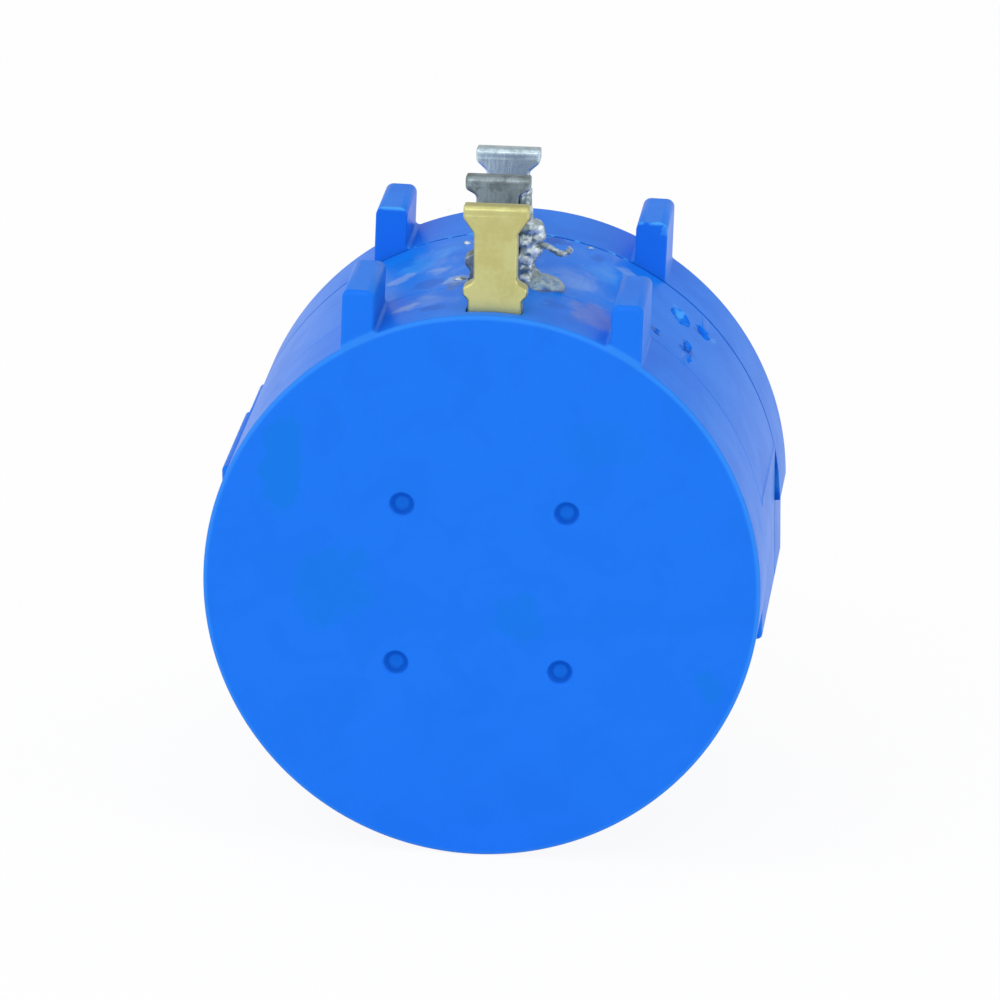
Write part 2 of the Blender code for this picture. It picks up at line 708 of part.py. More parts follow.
def wiper_carriage():
    """The block that slides on the rods, in its own frame: y = 0 lies at the contact."""
    half = CARRIAGE_WIDTH / 2
    end = CARRIAGE_LENGTH / 2
    seat = CARRIAGE_TOP - SHOULDER_HEIGHT
    body = block(
        "wiper_carriage",
        (-half, -end, CARRIAGE_BOTTOM), (half, end, CARRIAGE_TOP), PALE, CARRIAGE,
    )
    clear = CONTACT_WIDTH / 2 + FIT_GAP
    past = end + CARRIAGE_FLOOR
    tool = block("carriage_contact_slot", (-clear, -past, seat), (clear, past, 2 * CARRIAGE_TOP))
    cut(body, carried(tool))
    reach = ROD_RADIUS + RUNNING_FIT
    for side, name in ((-1, "guide"), (1, "takeoff")):
        hole = rod(f"carriage_{name}_hole", side * ROD_SPACING / 2, ROD_HEIGHT, reach, past, -past)
        cut(body, carried(hole))
    face = ROD_SPACING / 2 + ROD_RADIUS + FIT_GAP
    tool = block(
        "carriage_brush_recess",
        (face - FIT_GAP / 2, -past, ROD_HEIGHT - BRUSH_REACH),
        (2 * half, past, ROD_HEIGHT + BRUSH_REACH),
    )
    cut(body, carried(tool))
    middle = face + LEAF / 2
    bow = FIT_GAP / 2
    path = [
        (middle + bow, ROD_HEIGHT - BRUSH_REACH + FIT_GAP),
        (middle, ROD_HEIGHT),
        (middle + bow, ROD_HEIGHT + BRUSH_REACH - FIT_GAP),
    ]
    plate(
        "takeoff_brush", strip_outline(path, LEAF), CARRIAGE_LENGTH - 2 * LEAF,
        (0.0, 0.0, 0.0), ACROSS, BRASS, CARRIAGE,
    )
    base = seat + FIT_GAP + LEAF / 2
    tip = math.sqrt(CONTACT_RADIUS**2 - (CONTACT_WIDTH / 2) ** 2) - LEAF
    path = [
        (-end + LEAF, base),
        (end / 2, base),
        (end - 2 * LEAF, base + (tip - base) / 4),
        (0.0, tip),
        (-end / 2, tip - (tip - base) / 3),
    ]
    plate(
        "wiper_contact", strip_outline(path, LEAF), CONTACT_WIDTH,
        (0.0, 0.0, 0.0), ALONG, BRASS, CARRIAGE,
    )


def carried(tool):
    """Moves a helper into the carriage's frame."""
    tool.parent = CARRIAGE
    return tool


def resistance_element():
    """The wound element: its turns go round the bore, and both ends lie under the lugs."""
    count = TURNS * COIL_POINTS
    points = []
    for i in range(count + 1):
        turn = 2 * math.pi * i / COIL_POINTS
        points.append(
            (
                -COIL_RADIUS * math.sin(turn),
                COIL_FRONT_Y - TRAVEL * i / count,
                COIL_RADIUS * math.cos(turn),
            )
        )
    tube("resistance_element", points, COIL_WIRE, RESISTANCE, HOUSING, sides=1)


def element_leads():
    """The strips from the feet of the barrel's lugs to both ends of the element."""
    high = LEAD_Z + LEAD_RISE
    for name, start, end in (
        ("element_lead_front", FRONT_LUG_Y - LUG_THICKNESS / 2, COIL_FRONT_Y),
        ("element_lead_rear", MIDDLE_LUG_Y + LUG_THICKNESS / 2, COIL_REAR_Y),
    ):
        way = 1 if end > start else -1
        path = [
            (start, high),
            (end - way * 3 * COIL_WIRE, high),
            (end - way * COIL_WIRE, LEAD_Z),
            (end + way * COIL_WIRE, LEAD_Z),
        ]
        plate(
            name, strip_outline(path, LEAD_THICKNESS), LEAD_WIDTH,
            (0.0, 0.0, 0.0), ALONG, BRASS, HOUSING,
        )


def lug_outline(foot_z):
    """A solder lug's outline: a wide head, a waist, a shoulder and a foot."""
    top = BODY_RADIUS + LUG_HEIGHT
    head = top - LUG_HEAD_HEIGHT
    low = BODY_RADIUS + LUG_SHOULDER_RISE
    high = low + LUG_SHOULDER_HEIGHT
    half = [
        (LUG_FOOT / 2, foot_z),
        (LUG_FOOT / 2, low - LUG_FOOT_TAPER),
        (LUG_SHOULDER / 2, low),
        (LUG_SHOULDER / 2, high),
        (LUG_WAIST / 2, high + LUG_SHOULDER_TAPER),
        (LUG_WAIST / 2, head - LUG_NECK_HEIGHT),
        (LUG_HEAD / 2, head),
        (LUG_HEAD / 2, top - LUG_CORNER),
        (LUG_HEAD / 2 - LUG_CORNER, top),
    ]
    return half + [(-x, z) for x, z in reversed(half)]


def lugs():
    """The three solder lugs."""
    for name, y, shift, foot, finish in (
        ("terminal_wiper", REAR_LUG_Y, 0.0, CAP_LUG_FOOT_Z, BRASS),
        ("terminal_middle", MIDDLE_LUG_Y, BARREL_LUG_SHIFT, BARREL_LUG_FOOT_Z, TINNED),
        ("terminal_front", FRONT_LUG_Y, BARREL_LUG_SHIFT, BARREL_LUG_FOOT_Z, TINNED),
    ):
        plate(name, lug_outline(foot), LUG_THICKNESS, (shift, y, 0.0), ACROSS, finish, HOUSING)


def collector_spring():
    """The leaf from the foot of the wiper's lug to the slip ring."""
    near = SLIP_RING_REAR_Y - FIT_GAP - SPRING_THICKNESS / 2
    far = max(REAR_LUG_Y, CAP_FLOOR_Y + FIT_GAP + SPRING_THICKNESS / 2)
    touch = SLIP_RING_RADIUS
    top = CAP_LUG_FOOT_Z - FIT_GAP
    path = [
        (far, top),
        (far, (top + touch) / 2),
        (near - SPRING_THICKNESS, touch + SPRING_THICKNESS),
        (near, touch),
        (near - SPRING_THICKNESS, touch - 2 * SPRING_THICKNESS),
    ]
    plate(
        "collector_spring", strip_outline(path, SPRING_THICKNESS), LEAD_WIDTH,
        (0.0, 0.0, 0.0), ALONG, BRASS, HOUSING,
    )


def old_joint():
    """The lump of solder on the middle lug, and the stub of wire that stuck in it."""
    edge = BARREL_LUG_SHIFT + LUG_SHOULDER / 2 + SOLDER_RADIUS + FIT_GAP
    foot = BODY_RADIUS + SOLDER_RADIUS
    lump = [
        (edge + SOLDER_LEAN * i / len(SOLDER_BEADS), MIDDLE_LUG_Y, foot + SOLDER_BEAD * i)
        for i in range(len(SOLDER_BEADS))
    ]
    tube("solder_lump", lump, SOLDER_RADIUS, SOLDER, HOUSING, SOLDER_BEADS)
    start = edge + SOLDER_LEAN + SOLDER_RADIUS + WIRE_RADIUS + FIT_GAP
    level = foot + WIRE_LEVEL
    stub = [
        (start + WIRE_STEP * i, MIDDLE_LUG_Y, level - WIRE_DROP * fall)
        for i, fall in enumerate((0, 1, 2, 1))
    ]
    tube("wire_stub", stub, WIRE_RADIUS, SOLDER, HOUSING)


for build in (
    front_lid, barrel, rear_cap, bushing, shaft, washers_and_retaining_ring, spool,
    wiper_carriage, resistance_element, element_leads, lugs, collector_spring, old_joint,
):
    build()

for piece in PARTS.objects:
    if piece.type == "MESH" and not piece.modifiers:
        piece.data.set_sharp_from_angle(angle=math.radians(30))
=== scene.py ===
"""Looks of a multi-turn potentiometer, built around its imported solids, in metres.

The shaft lies on the Y axis and points to +Y, the solder lugs point to +Z, and the mounting
face of the lid lies at y = 0. The camera looks at the rear face, from a little above.
"""

from __future__ import annotations

import json
import logging
import math
from collections.abc import Iterable, Mapping, Sequence
from dataclasses import dataclass
from enum import Enum

import bmesh
import bpy
from mathutils import Color, Matrix, Vector, noise

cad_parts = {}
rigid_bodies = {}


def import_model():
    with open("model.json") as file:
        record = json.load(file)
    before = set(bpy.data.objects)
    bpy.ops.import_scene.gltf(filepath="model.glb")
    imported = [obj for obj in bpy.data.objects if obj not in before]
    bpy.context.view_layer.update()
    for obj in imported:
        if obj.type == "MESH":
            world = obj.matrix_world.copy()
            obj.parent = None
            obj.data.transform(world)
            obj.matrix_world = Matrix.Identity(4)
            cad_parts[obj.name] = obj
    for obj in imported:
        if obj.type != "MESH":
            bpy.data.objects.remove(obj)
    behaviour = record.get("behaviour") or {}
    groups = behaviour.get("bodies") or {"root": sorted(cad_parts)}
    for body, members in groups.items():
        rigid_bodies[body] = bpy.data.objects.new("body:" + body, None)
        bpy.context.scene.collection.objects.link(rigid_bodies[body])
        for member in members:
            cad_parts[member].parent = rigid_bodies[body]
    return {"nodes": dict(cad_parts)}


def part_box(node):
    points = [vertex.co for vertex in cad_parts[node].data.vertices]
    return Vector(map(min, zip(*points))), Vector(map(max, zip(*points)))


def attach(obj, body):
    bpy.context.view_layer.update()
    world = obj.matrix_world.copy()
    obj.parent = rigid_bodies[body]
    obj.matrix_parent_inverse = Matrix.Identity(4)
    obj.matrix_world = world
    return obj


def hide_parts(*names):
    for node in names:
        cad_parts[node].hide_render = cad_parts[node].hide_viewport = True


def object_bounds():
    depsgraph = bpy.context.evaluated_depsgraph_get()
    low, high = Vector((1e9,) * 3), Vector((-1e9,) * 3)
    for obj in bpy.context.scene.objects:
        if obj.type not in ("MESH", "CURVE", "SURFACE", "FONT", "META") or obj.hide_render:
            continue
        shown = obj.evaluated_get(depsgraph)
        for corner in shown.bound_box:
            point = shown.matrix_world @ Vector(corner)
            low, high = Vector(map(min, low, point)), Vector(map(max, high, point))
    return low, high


for left_over in list(bpy.data.objects):
    bpy.data.objects.remove(left_over, do_unlink=True)

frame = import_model()
CAD_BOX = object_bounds()

log = logging.getLogger("potentiometer")

MM = 0.001
ARC_STEP = 0.27 * MM
WELD = 0.0005 * MM
SMOOTH_BELOW = math.radians(32)
EDGE_STEPS = 3
RIM_STEPS = 4

Point = tuple[float, float]
Place = tuple[float, float, float]
Colour = tuple[float, float, float]


class Joining(Enum):
    """How a tool's shape changes a piece."""

    ADD = "UNION"
    CUT = "DIFFERENCE"


class Side(Enum):
    """The two sides of the housing, seen from the rear."""

    LEFT = -1
    RIGHT = 1


class Tone(Enum):
    """What a mark on the plastic is, with its colour; some tones are painted shade and painted
    highlights.
    """

    HAZE = (0.36, 0.50, 0.74)
    GLUE = (0.24, 0.28, 0.60)
    # Painted shade: in the dimples, along the lid's seam and in dark patches on the barrel's top.
    PAINTED_SHADE = (0.003, 0.095, 0.55)
    # Painted shade in the gouges.
    GOUGE_SHADE = (0.002, 0.062, 0.44)
    SMUDGE = (0.007, 0.172, 0.69)
    FLUX = (0.16, 0.15, 0.11)
    # Pale patches, and painted highlights on the edges by the lid's seam and round the rear face.
    PALE_PATCH_AND_HIGHLIGHT = (0.075, 0.40, 0.92)


class Working(Enum):
    """How a metal surface was worked: its fine lines' density on each axis, and their detail."""

    PRESSED = ((9.0, 9.0, 1.2), 3.0)
    TURNED = ((0.4, 14.0, 0.4), 3.0)
    DRAWN = ((12.0, 0.3, 12.0), 2.0)


def from_screen(red: int, green: int, blue: int) -> Colour:
    """Turns a colour from 0 to 255, as a screen shows it, into a linear one."""
    shown = Color((red / 255, green / 255, blue / 255))
    return tuple(shown.from_srgb_to_scene_linear())


class Socket:
    """A shader value that takes part in Python expressions."""

    def __init__(self, sheet: Sheet, source: bpy.types.NodeSocket) -> None:
        """Wraps an output of one of the sheet's nodes."""
        self.sheet = sheet
        self.source = source

    def _math(self, operation: str, *values: Socket | float, clamp: bool = False) -> Socket:
        """The result of a new Math node with these inputs, in order."""
        settings = {"operation": operation, "use_clamp": clamp}
        return self.sheet.node("ShaderNodeMath", settings, dict(enumerate(values)))

    def __add__(self, other: Socket | float) -> Socket:
        """The sum."""
        return self._math("ADD", self, other)

    def __radd__(self, other: float) -> Socket:
        """The sum, from the right."""
        return self._math("ADD", other, self)

    def __sub__(self, other: Socket | float) -> Socket:
        """The difference."""
        return self._math("SUBTRACT", self, other)

    def __rsub__(self, other: float) -> Socket:
        """The difference, from the right."""
        return self._math("SUBTRACT", other, self)

    def __mul__(self, other: Socket | float) -> Socket:
        """The product."""
        return self._math("MULTIPLY", self, other)

    def __rmul__(self, other: float) -> Socket:
        """The product, from the right."""
        return self._math("MULTIPLY", other, self)

    def clamped(self) -> Socket:
        """The value, kept between 0 and 1."""
        return self._math("ADD", self, 0.0, clamp=True)

    def at_least(self, other: Socket | float) -> Socket:
        """The larger of two values."""
        return self._math("MAXIMUM", self, other)

    def size(self) -> Socket:
        """The value without its sign."""
        return self._math("ABSOLUTE", self)

    def root(self) -> Socket:
        """The square root of the value."""
        return self._math("SQRT", self)

    def sine(self) -> Socket:
        """The sine of the value."""
        return self._math("SINE", self)

    def step(self, start: float, end: float) -> Socket:
        """Runs smoothly from 0 to 1 between two values.

        Args:
            start: Where the result is 0.
            end: Where the result is 1.

        Returns:
            The smooth step.
        """
        settings = {"interpolation_type": "SMOOTHSTEP"}
        inputs = {"Value": self, "From Min": start, "From Max": end}
        return self.sheet.node("ShaderNodeMapRange", settings, inputs, "Result")


class Sheet:
    """The nodes of one material or of the world."""

    def __init__(self, tree: bpy.types.NodeTree) -> None:
        """Clears the tree that the sheet fills."""
        self.tree = tree
        tree.nodes.clear()

    def node(
        self,
        kind: str,
        settings: Mapping[str, object],
        inputs: Mapping[str | int, Socket | float | Sequence[float]],
        output: str | int = 0,
    ) -> Socket | None:
        """Adds one node.

        Args:
            kind: The node's type.
            settings: Its properties, which are set first.
            inputs: The value or link of each socket, by name or place.
            output: The output that is wanted.

        Returns:
            That output, or None where the node has no outputs.
        """
        made = self.tree.nodes.new(kind)
        for name, value in settings.items():
            setattr(made, name, value)
        for name, value in inputs.items():
            if isinstance(value, Socket):
                self.tree.links.new(value.source, made.inputs[name])
            else:
                made.inputs[name].default_value = value
        return Socket(self, made.outputs[output]) if len(made.outputs) else None

    def vector(self, operation: str, *values: Socket | Place, output: str | int = 0) -> Socket:
        """The result of a new Vector Math node with these inputs, in order."""
        inputs = dict(enumerate(values))
        return self.node("ShaderNodeVectorMath", {"operation": operation}, inputs, output)

    def place(self, stretch: Place = (1.0, 1.0, 1.0)) -> Socket:
        """The point on the object, in millimetres.

        Args:
            stretch: A factor on each axis.

        Returns:
            The vector.
        """
        source = self.node("ShaderNodeTexCoord", {}, {}, "Object")
        scale = tuple(value / MM for value in stretch)
        inputs = {"Vector": source, "Scale": scale}
        return self.node("ShaderNodeMapping", {"vector_type": "POINT"}, inputs)

    def split(self, vector: Socket) -> tuple[Socket, Socket, Socket]:
        """The three parts of a vector.

        Args:
            vector: The vector.

        Returns:
            Its X, Y and Z.
        """
        first = self.node("ShaderNodeSeparateXYZ", {}, {"Vector": vector})
        outputs = first.source.node.outputs
        return tuple(Socket(self, outputs[i]) for i in range(3))

    def noise(self, place: Socket, scale: float, detail: float, distortion: float = 0.0) -> Socket:
        """Smooth noise from 0 to 1, with its scale in waves per millimetre."""
        inputs = {"Vector": place, "Scale": scale, "Detail": detail, "Distortion": distortion}
        return self.node("ShaderNodeTexNoise", {"noise_dimensions": "3D"}, inputs, "Fac")

    def cells(self, place: Socket, scale: float) -> Socket:
        """The distance to the nearest of scattered points, a few to the millimetre."""
        inputs = {"Vector": place, "Scale": scale}
        return self.node("ShaderNodeTexVoronoi", {"feature": "F1"}, inputs, "Distance")

    def ragged(self, place: Socket, scale: float, amount: float) -> Socket:
        """The point, pushed about so that what is drawn there gets ragged edges.

        Args:
            place: The point.
            scale: Waves per millimetre.
            amount: How far it is pushed, in millimetres.

        Returns:
            The pushed point.
        """
        inputs = {"Vector": place, "Scale": scale, "Detail": 3.0}
        push = self.node("ShaderNodeTexNoise", {"noise_dimensions": "3D"}, inputs, "Color")
        push = self.vector("SUBTRACT", push, (0.5, 0.5, 0.5))
        push = self.vector("MULTIPLY", push, (2 * amount,) * 3)
        return self.vector("ADD", push, place)

    def nearness(self, place: Socket, centre: Place, reach: Place) -> Socket:
        """A soft spot, 1 at its centre and 0 past its reach, both in millimetres."""
        scaled = self.vector("DIVIDE", self.vector("SUBTRACT", place, centre), reach)
        return self.vector("LENGTH", scaled, output="Value").step(1.0, 0.2)

    def blend(self, factor: Socket, first: Socket | Colour, second: Socket | Colour) -> Socket:
        """Mixes two colours.

        Args:
            factor: How much of the second one there is.
            first: The first colour.
            second: The second colour.

        Returns:
            The mixed colour.
        """
        ends = [c if isinstance(c, Socket) else (*c, 1.0) for c in (first, second)]
        settings = {"data_type": "RGBA", "clamp_factor": True}
        return self.node("ShaderNodeMix", settings, {0: factor, 6: ends[0], 7: ends[1]}, 2)

    def bump(self, height: Socket, depth: float) -> Socket:
        """A normal that follows a height, of which 1 stands for the depth in metres."""
        inputs = {"Height": height, "Distance": depth, "Strength": 1.0}
        return self.node("ShaderNodeBump", {}, inputs, "Normal")

    def surface(self, inputs: Mapping[str, Socket | float | Sequence[float]]) -> None:
        """Ends the sheet in a Principled surface with these inputs."""
        shader = self.node("ShaderNodeBsdfPrincipled", {}, inputs)
        self.node("ShaderNodeOutputMaterial", {}, {"Surface": shader})


def new_material(name: str) -> tuple[bpy.types.Material, Sheet]:
    """Starts a material.

    Args:
        name: Its name.

    Returns:
        The material and its sheet of nodes.
    """
    made = bpy.data.materials.new(name)
    made.use_nodes = True
    return made, Sheet(made.node_tree)


@dataclass(frozen=True)
class Mark:
    """A mark on the plastic: where it lies and how far it goes in millimetres, and how strongly."""

    tone: Tone
    centre: Place
    reach: Place
    strength: float


@dataclass(frozen=True)
class MouldedBlue:
    """The housing's blue plastic, with what handling and soldering left on it, and with painted
    shade, painted highlights and a painted sheen.

    A finish reads the point on the object in millimetres, so its lengths are millimetres too.
    """

    name: str = "moulded_blue"
    colour: Colour = (0.0120, 0.168, 0.80)
    # Painted sheen: the greener tint of every face that is not turned to the rear.
    side_sheen: Colour = (0.0075, 0.192, 0.82)
    shade: Colour = (0.0100, 0.154, 0.74)
    roughness: float = 0.32
    gloss: float = 0.035
    radius: float = 11.11
    rim: float = 10.98
    ear_top: float = 11.83
    lid_seam: float = -4.59
    cap_rear: float = -19.05
    haze_width: Point = (5.2, 4.2)
    haze_height: Point = (9.3, 10.2)
    haze_front: Point = (-4.5, -4.9)
    haze_rear: Point = (-17.2, -16.0)
    dimple_half: float = 3.27
    dimple_ring: float = 0.40
    dimple_radius: float = 0.56
    dimple_reach: float = 0.6
    # Where the painted highlight flecks lie beside the lid's seam.
    seam_highlight_width: Point = (4.7, 4.5)
    seam_highlight_height: Point = (9.6, 10.2)
    marks: tuple[Mark, ...] = (
        Mark(Tone.HAZE, (-3.69, -16.0, 10.5), (1.0, 1.0, 0.8), 0.5),
        Mark(Tone.HAZE, (-3.0, -15.5, 10.7), (1.3, 1.3, 0.8), 0.2),
        Mark(Tone.GLUE, (3.8, -15.3, 10.4), (1.6, 2.8, 1.0), 0.42),
        Mark(Tone.HAZE, (4.6, -6.7, 10.1), (0.8, 1.3, 0.6), 0.35),
        Mark(Tone.HAZE, (-1.77, -12.67, 11.0), (0.9, 1.2, 0.6), 0.55),
        Mark(Tone.HAZE, (-4.4, -10.2, 10.2), (0.8, 1.3, 0.6), 0.35),
        Mark(Tone.HAZE, (-2.8, -10.4, 10.75), (0.8, 1.0, 0.6), 0.3),
        Mark(Tone.FLUX, (1.6, -13.2, 11.1), (0.95, 1.3, 0.6), 0.6),
        Mark(Tone.FLUX, (-1.9, -13.6, 11.0), (0.6, 0.9, 0.5), 0.35),
        Mark(Tone.FLUX, (-1.45, -9.6, 11.1), (0.4, 1.2, 0.5), 0.5),
        Mark(Tone.HAZE, (2.9, -11.0, 10.8), (1.6, 2.6, 0.7), 0.16),
        Mark(Tone.PALE_PATCH_AND_HIGHLIGHT, (-3.9, -8.8, 10.4), (1.2, 2.2, 0.8), 0.3),
        Mark(Tone.PALE_PATCH_AND_HIGHLIGHT, (-2.9, -7.2, 10.8), (1.0, 1.4, 0.6), 0.25),
        Mark(Tone.PALE_PATCH_AND_HIGHLIGHT, (3.6, -8.2, 10.5), (1.0, 2.2, 0.8), 0.2),
        # Painted shade: dark patches on the barrel's top, one just behind the lid's seam right of
        # the solder, and in the gouges.
        Mark(Tone.PAINTED_SHADE, (-3.2, -12.6, 10.7), (1.3, 1.2, 0.8), 0.5),
        Mark(Tone.PAINTED_SHADE, (-2.4, -17.0, 10.9), (0.9, 1.1, 0.7), 0.5),
        Mark(Tone.PAINTED_SHADE, (2.2, -15.6, 11.0), (0.7, 1.4, 0.7), 0.4),
        Mark(Tone.PAINTED_SHADE, (3.4, -6.4, 10.6), (0.5, 0.9, 0.6), 0.5),
        Mark(Tone.PAINTED_SHADE, (1.55, -5.5, 11.0), (0.65, 1.1, 0.6), 0.8),
        Mark(Tone.GOUGE_SHADE, (7.3, -11.3, 8.4), (0.3, 1.3, 0.5), 0.7),
        Mark(Tone.GOUGE_SHADE, (7.65, -7.6, 8.0), (0.35, 0.9, 0.5), 0.6),
        Mark(Tone.PAINTED_SHADE, (6.18, -12.5, 9.23), (0.3, 0.6, 0.4), 0.8),
        Mark(Tone.PALE_PATCH_AND_HIGHLIGHT, (6.85, -7.1, 8.75), (0.35, 0.5, 0.4), 0.8),
        Mark(Tone.PALE_PATCH_AND_HIGHLIGHT, (8.15, -6.8, 7.55), (0.25, 0.6, 0.4), 0.5),
        Mark(Tone.PALE_PATCH_AND_HIGHLIGHT, (11.1, -4.6, 1.7), (0.5, 0.5, 1.9), 0.8),
        Mark(Tone.PALE_PATCH_AND_HIGHLIGHT, (5.9, -4.6, 11.7), (0.25, 0.35, 0.9), 0.5),
        Mark(Tone.SMUDGE, (-8.1, -19.05, 4.6), (1.3, 1.0, 3.4), 0.75),
        Mark(Tone.SMUDGE, (-5.9, -19.05, -0.3), (2.6, 1.0, 2.6), 0.65),
        Mark(Tone.SMUDGE, (9.3, -19.05, -3.6), (0.8, 1.0, 1.0), 0.6),
        Mark(Tone.SMUDGE, (1.6, -19.05, -1.2), (2.0, 1.0, 1.3), 0.5),
        Mark(Tone.SMUDGE, (4.5, -19.05, 6.2), (3.0, 1.0, 1.6), 0.3),
    )

    def material(self) -> bpy.types.Material:
        """Builds the material.

        Returns:
            The material.
        """
        made, sheet = new_material(self.name)
        place = sheet.place()
        ragged = sheet.ragged(place, 1.1, 0.8)
        cloud = sheet.noise(place, 0.42, 4.0, 0.6)
        patch = sheet.noise(place, 1.3, 5.0, 0.8)
        grain = sheet.noise(place, 9.0, 3.0)
        # Painted sheen: faces not turned to the rear get a greener tint.
        colour = sheet.blend(self._painted_side_sheen(sheet.split(place)[1]), self.colour, self.side_sheen)
        colour = sheet.blend(cloud.step(0.42, 0.68) * 0.5, colour, self.shade)
        colour = sheet.blend(self._haze(sheet, place, patch), colour, Tone.HAZE.value)
        for mark in self.marks:
            spot = sheet.nearness(ragged, mark.centre, mark.reach)
            torn = (spot * (1.9 - patch * 1.8)).step(0.15, 0.8) * mark.strength
            colour = sheet.blend(torn, colour, mark.tone.value)
        # Painted shade in the dimples of the rear face.
        colour = sheet.blend(self._dimple_shade(sheet, place), colour, Tone.PAINTED_SHADE.value)
        # Painted shade along the seam between the lid and the barrel.
        colour = sheet.blend(self._seam_shade(sheet, place), colour, Tone.PAINTED_SHADE.value)
        # Painted highlights: pale flecks on the edges by the lid's seam and a pale band round the
        # rear face.
        colour = sheet.blend(self._edge_highlights(sheet, place), colour, Tone.PALE_PATCH_AND_HIGHLIGHT.value)
        rough = self.roughness + (cloud - 0.5) * 0.12 + (grain - 0.5) * 0.10
        sheet.surface({
            "Base Color": colour,
            "Roughness": rough.clamped(),
            "IOR": 1.5,
            "Specular IOR Level": self.gloss,
            "Normal": sheet.bump(grain * 0.5 + patch * 0.5, 0.012 * MM),
        })
        return made

    def _painted_side_sheen(self, y: Socket) -> Socket:
        """Where the plastic gets a greener tint, a painted sheen for faces seen at a slant:
        everywhere but on faces turned to the rear.
        """
        behind_ears = (y - self.lid_seam).size().step(0.03, 0.1)
        return y.step(self.cap_rear + 0.05, self.cap_rear + 0.3) * behind_ears

    def _haze(self, sheet: Sheet, place: Socket, patch: Socket) -> Socket:
        """The pale film that soldering left on top of the barrel.

        Args:
            sheet: The sheet of nodes.
            place: The point, in millimetres.
            patch: The noise that breaks the film up.

        Returns:
            How much film there is.
        """
        x, y, z = sheet.split(place)
        between_ears = x.size().step(*self.haze_width) * z.step(*self.haze_height)
        on_barrel = y.step(*self.haze_front) * y.step(*self.haze_rear)
        streaks = sheet.noise(sheet.place((1.0, 0.35, 1.0)), 0.9, 5.0, 1.2)
        film = (streaks * 0.75 + patch * 0.25).step(0.46, 0.74)
        return between_ears * on_barrel * film * 0.2

    def _dimple_shade(self, sheet: Sheet, place: Socket) -> Socket:
        """The painted shade in the dimples, darkest on a ring at their walls.

        Args:
            sheet: The sheet of nodes.
            place: The point, in millimetres.

        Returns:
            How much dirt there is.
        """
        x, y, z = sheet.split(place)
        across = x.size() - self.dimple_half
        up = z.size() - self.dimple_half
        reach = (across * across + up * up).root()
        ring = (reach - self.dimple_ring).size().step(0.2, 0.04)
        inside = reach.step(self.dimple_radius, self.dimple_radius - 0.1)
        sunk = inside * y.step(self.cap_rear + 0.01, self.cap_rear + 0.06)
        deepest = self.cap_rear + self.dimple_reach
        sunk = sunk * y.step(deepest + 0.2, deepest)
        return sunk * (0.42 + ring * 0.5)

    def _seam_shade(self, sheet: Sheet, place: Socket) -> Socket:
        """The painted shade in the seam between the lid and the barrel.

        Args:
            sheet: The sheet of nodes.
            place: The point, in millimetres.

        Returns:
            How much painted shade there is.
        """
        x, y, z = sheet.split(place)
        on_skin = (x * x + z * z).root().step(self.radius + 0.03, self.radius - 0.03)
        uneven = sheet.noise(place, 0.8, 3.0).step(0.3, 0.6) * 0.4 + 0.5
        return (y - self.lid_seam).size().step(0.15, 0.09) * on_skin * uneven

    def _edge_highlights(self, sheet: Sheet, place: Socket) -> Socket:
        """The painted highlights: pale flecks on the edges beside the lid's seam, and a pale band
        round the rear face.

        Args:
            sheet: The sheet of nodes.
            place: The point, in millimetres.

        Returns:
            How much painted highlight there is.
        """
        x, y, z = sheet.split(place)
        flecks = sheet.noise(place, 3.4, 4.0, 0.5)
        seam = (y - self.lid_seam).size().step(0.22, 0.1) * z.step(*self.seam_highlight_height)
        seam = seam * z.step(self.radius + 0.05, self.radius - 0.03)
        seam = seam * x.size().step(*self.seam_highlight_width)
        ears = (y - self.lid_seam).size().step(0.2, 0.06)
        ears = ears * z.step(self.ear_top - 0.16, self.ear_top - 0.05)
        reach = (x * x + z * z).root()
        rim = reach.step(self.rim - 0.1, self.rim + 0.05)
        rim = rim * reach.step(self.rim + 0.35, self.rim + 0.2)
        rim = rim * y.step(self.cap_rear + 0.22, self.cap_rear + 0.1)
        fleck_highlights = seam * flecks.step(0.5, 0.62) * 0.75 + ears * flecks.step(0.34, 0.5) * 0.8
        return (fleck_highlights + rim * 0.26).clamped()


@dataclass(frozen=True)
class Metal:
    """A metal finish with clouds of tarnish and the fine lines of how it was worked."""

    name: str
    colour: Colour
    tarnish: Colour
    roughness: float
    working: Working
    mottling: float
    mottle_scale: float
    relief: float = 0.004 * MM

    def material(self) -> bpy.types.Material:
        """Builds the material.

        Returns:
            The material.
        """
        made, sheet = new_material(self.name)
        place = sheet.place()
        cloud = sheet.noise(place, self.mottle_scale, 4.0, 0.25)
        fine = sheet.noise(place, self.mottle_scale * 6, 3.0)
        lines = self._lines(sheet)
        dull = (cloud * 0.75 + fine * 0.25).step(0.42, 0.66)
        colour = sheet.blend(dull * self.mottling, self.colour, self.tarnish)
        rough = self.roughness + dull * self.mottling * 0.16 + (lines - 0.5) * 0.08
        sheet.surface({
            "Base Color": colour,
            "Metallic": 1.0,
            "Roughness": rough.clamped(),
            "Normal": sheet.bump(lines * 0.5 + cloud * (self.mottling * 0.5), self.relief),
        })
        return made

    def _lines(self, sheet: Sheet) -> Socket:
        """The height of the fine lines."""
        density, detail = self.working.value
        return sheet.noise(sheet.place(density), 1.0, detail)


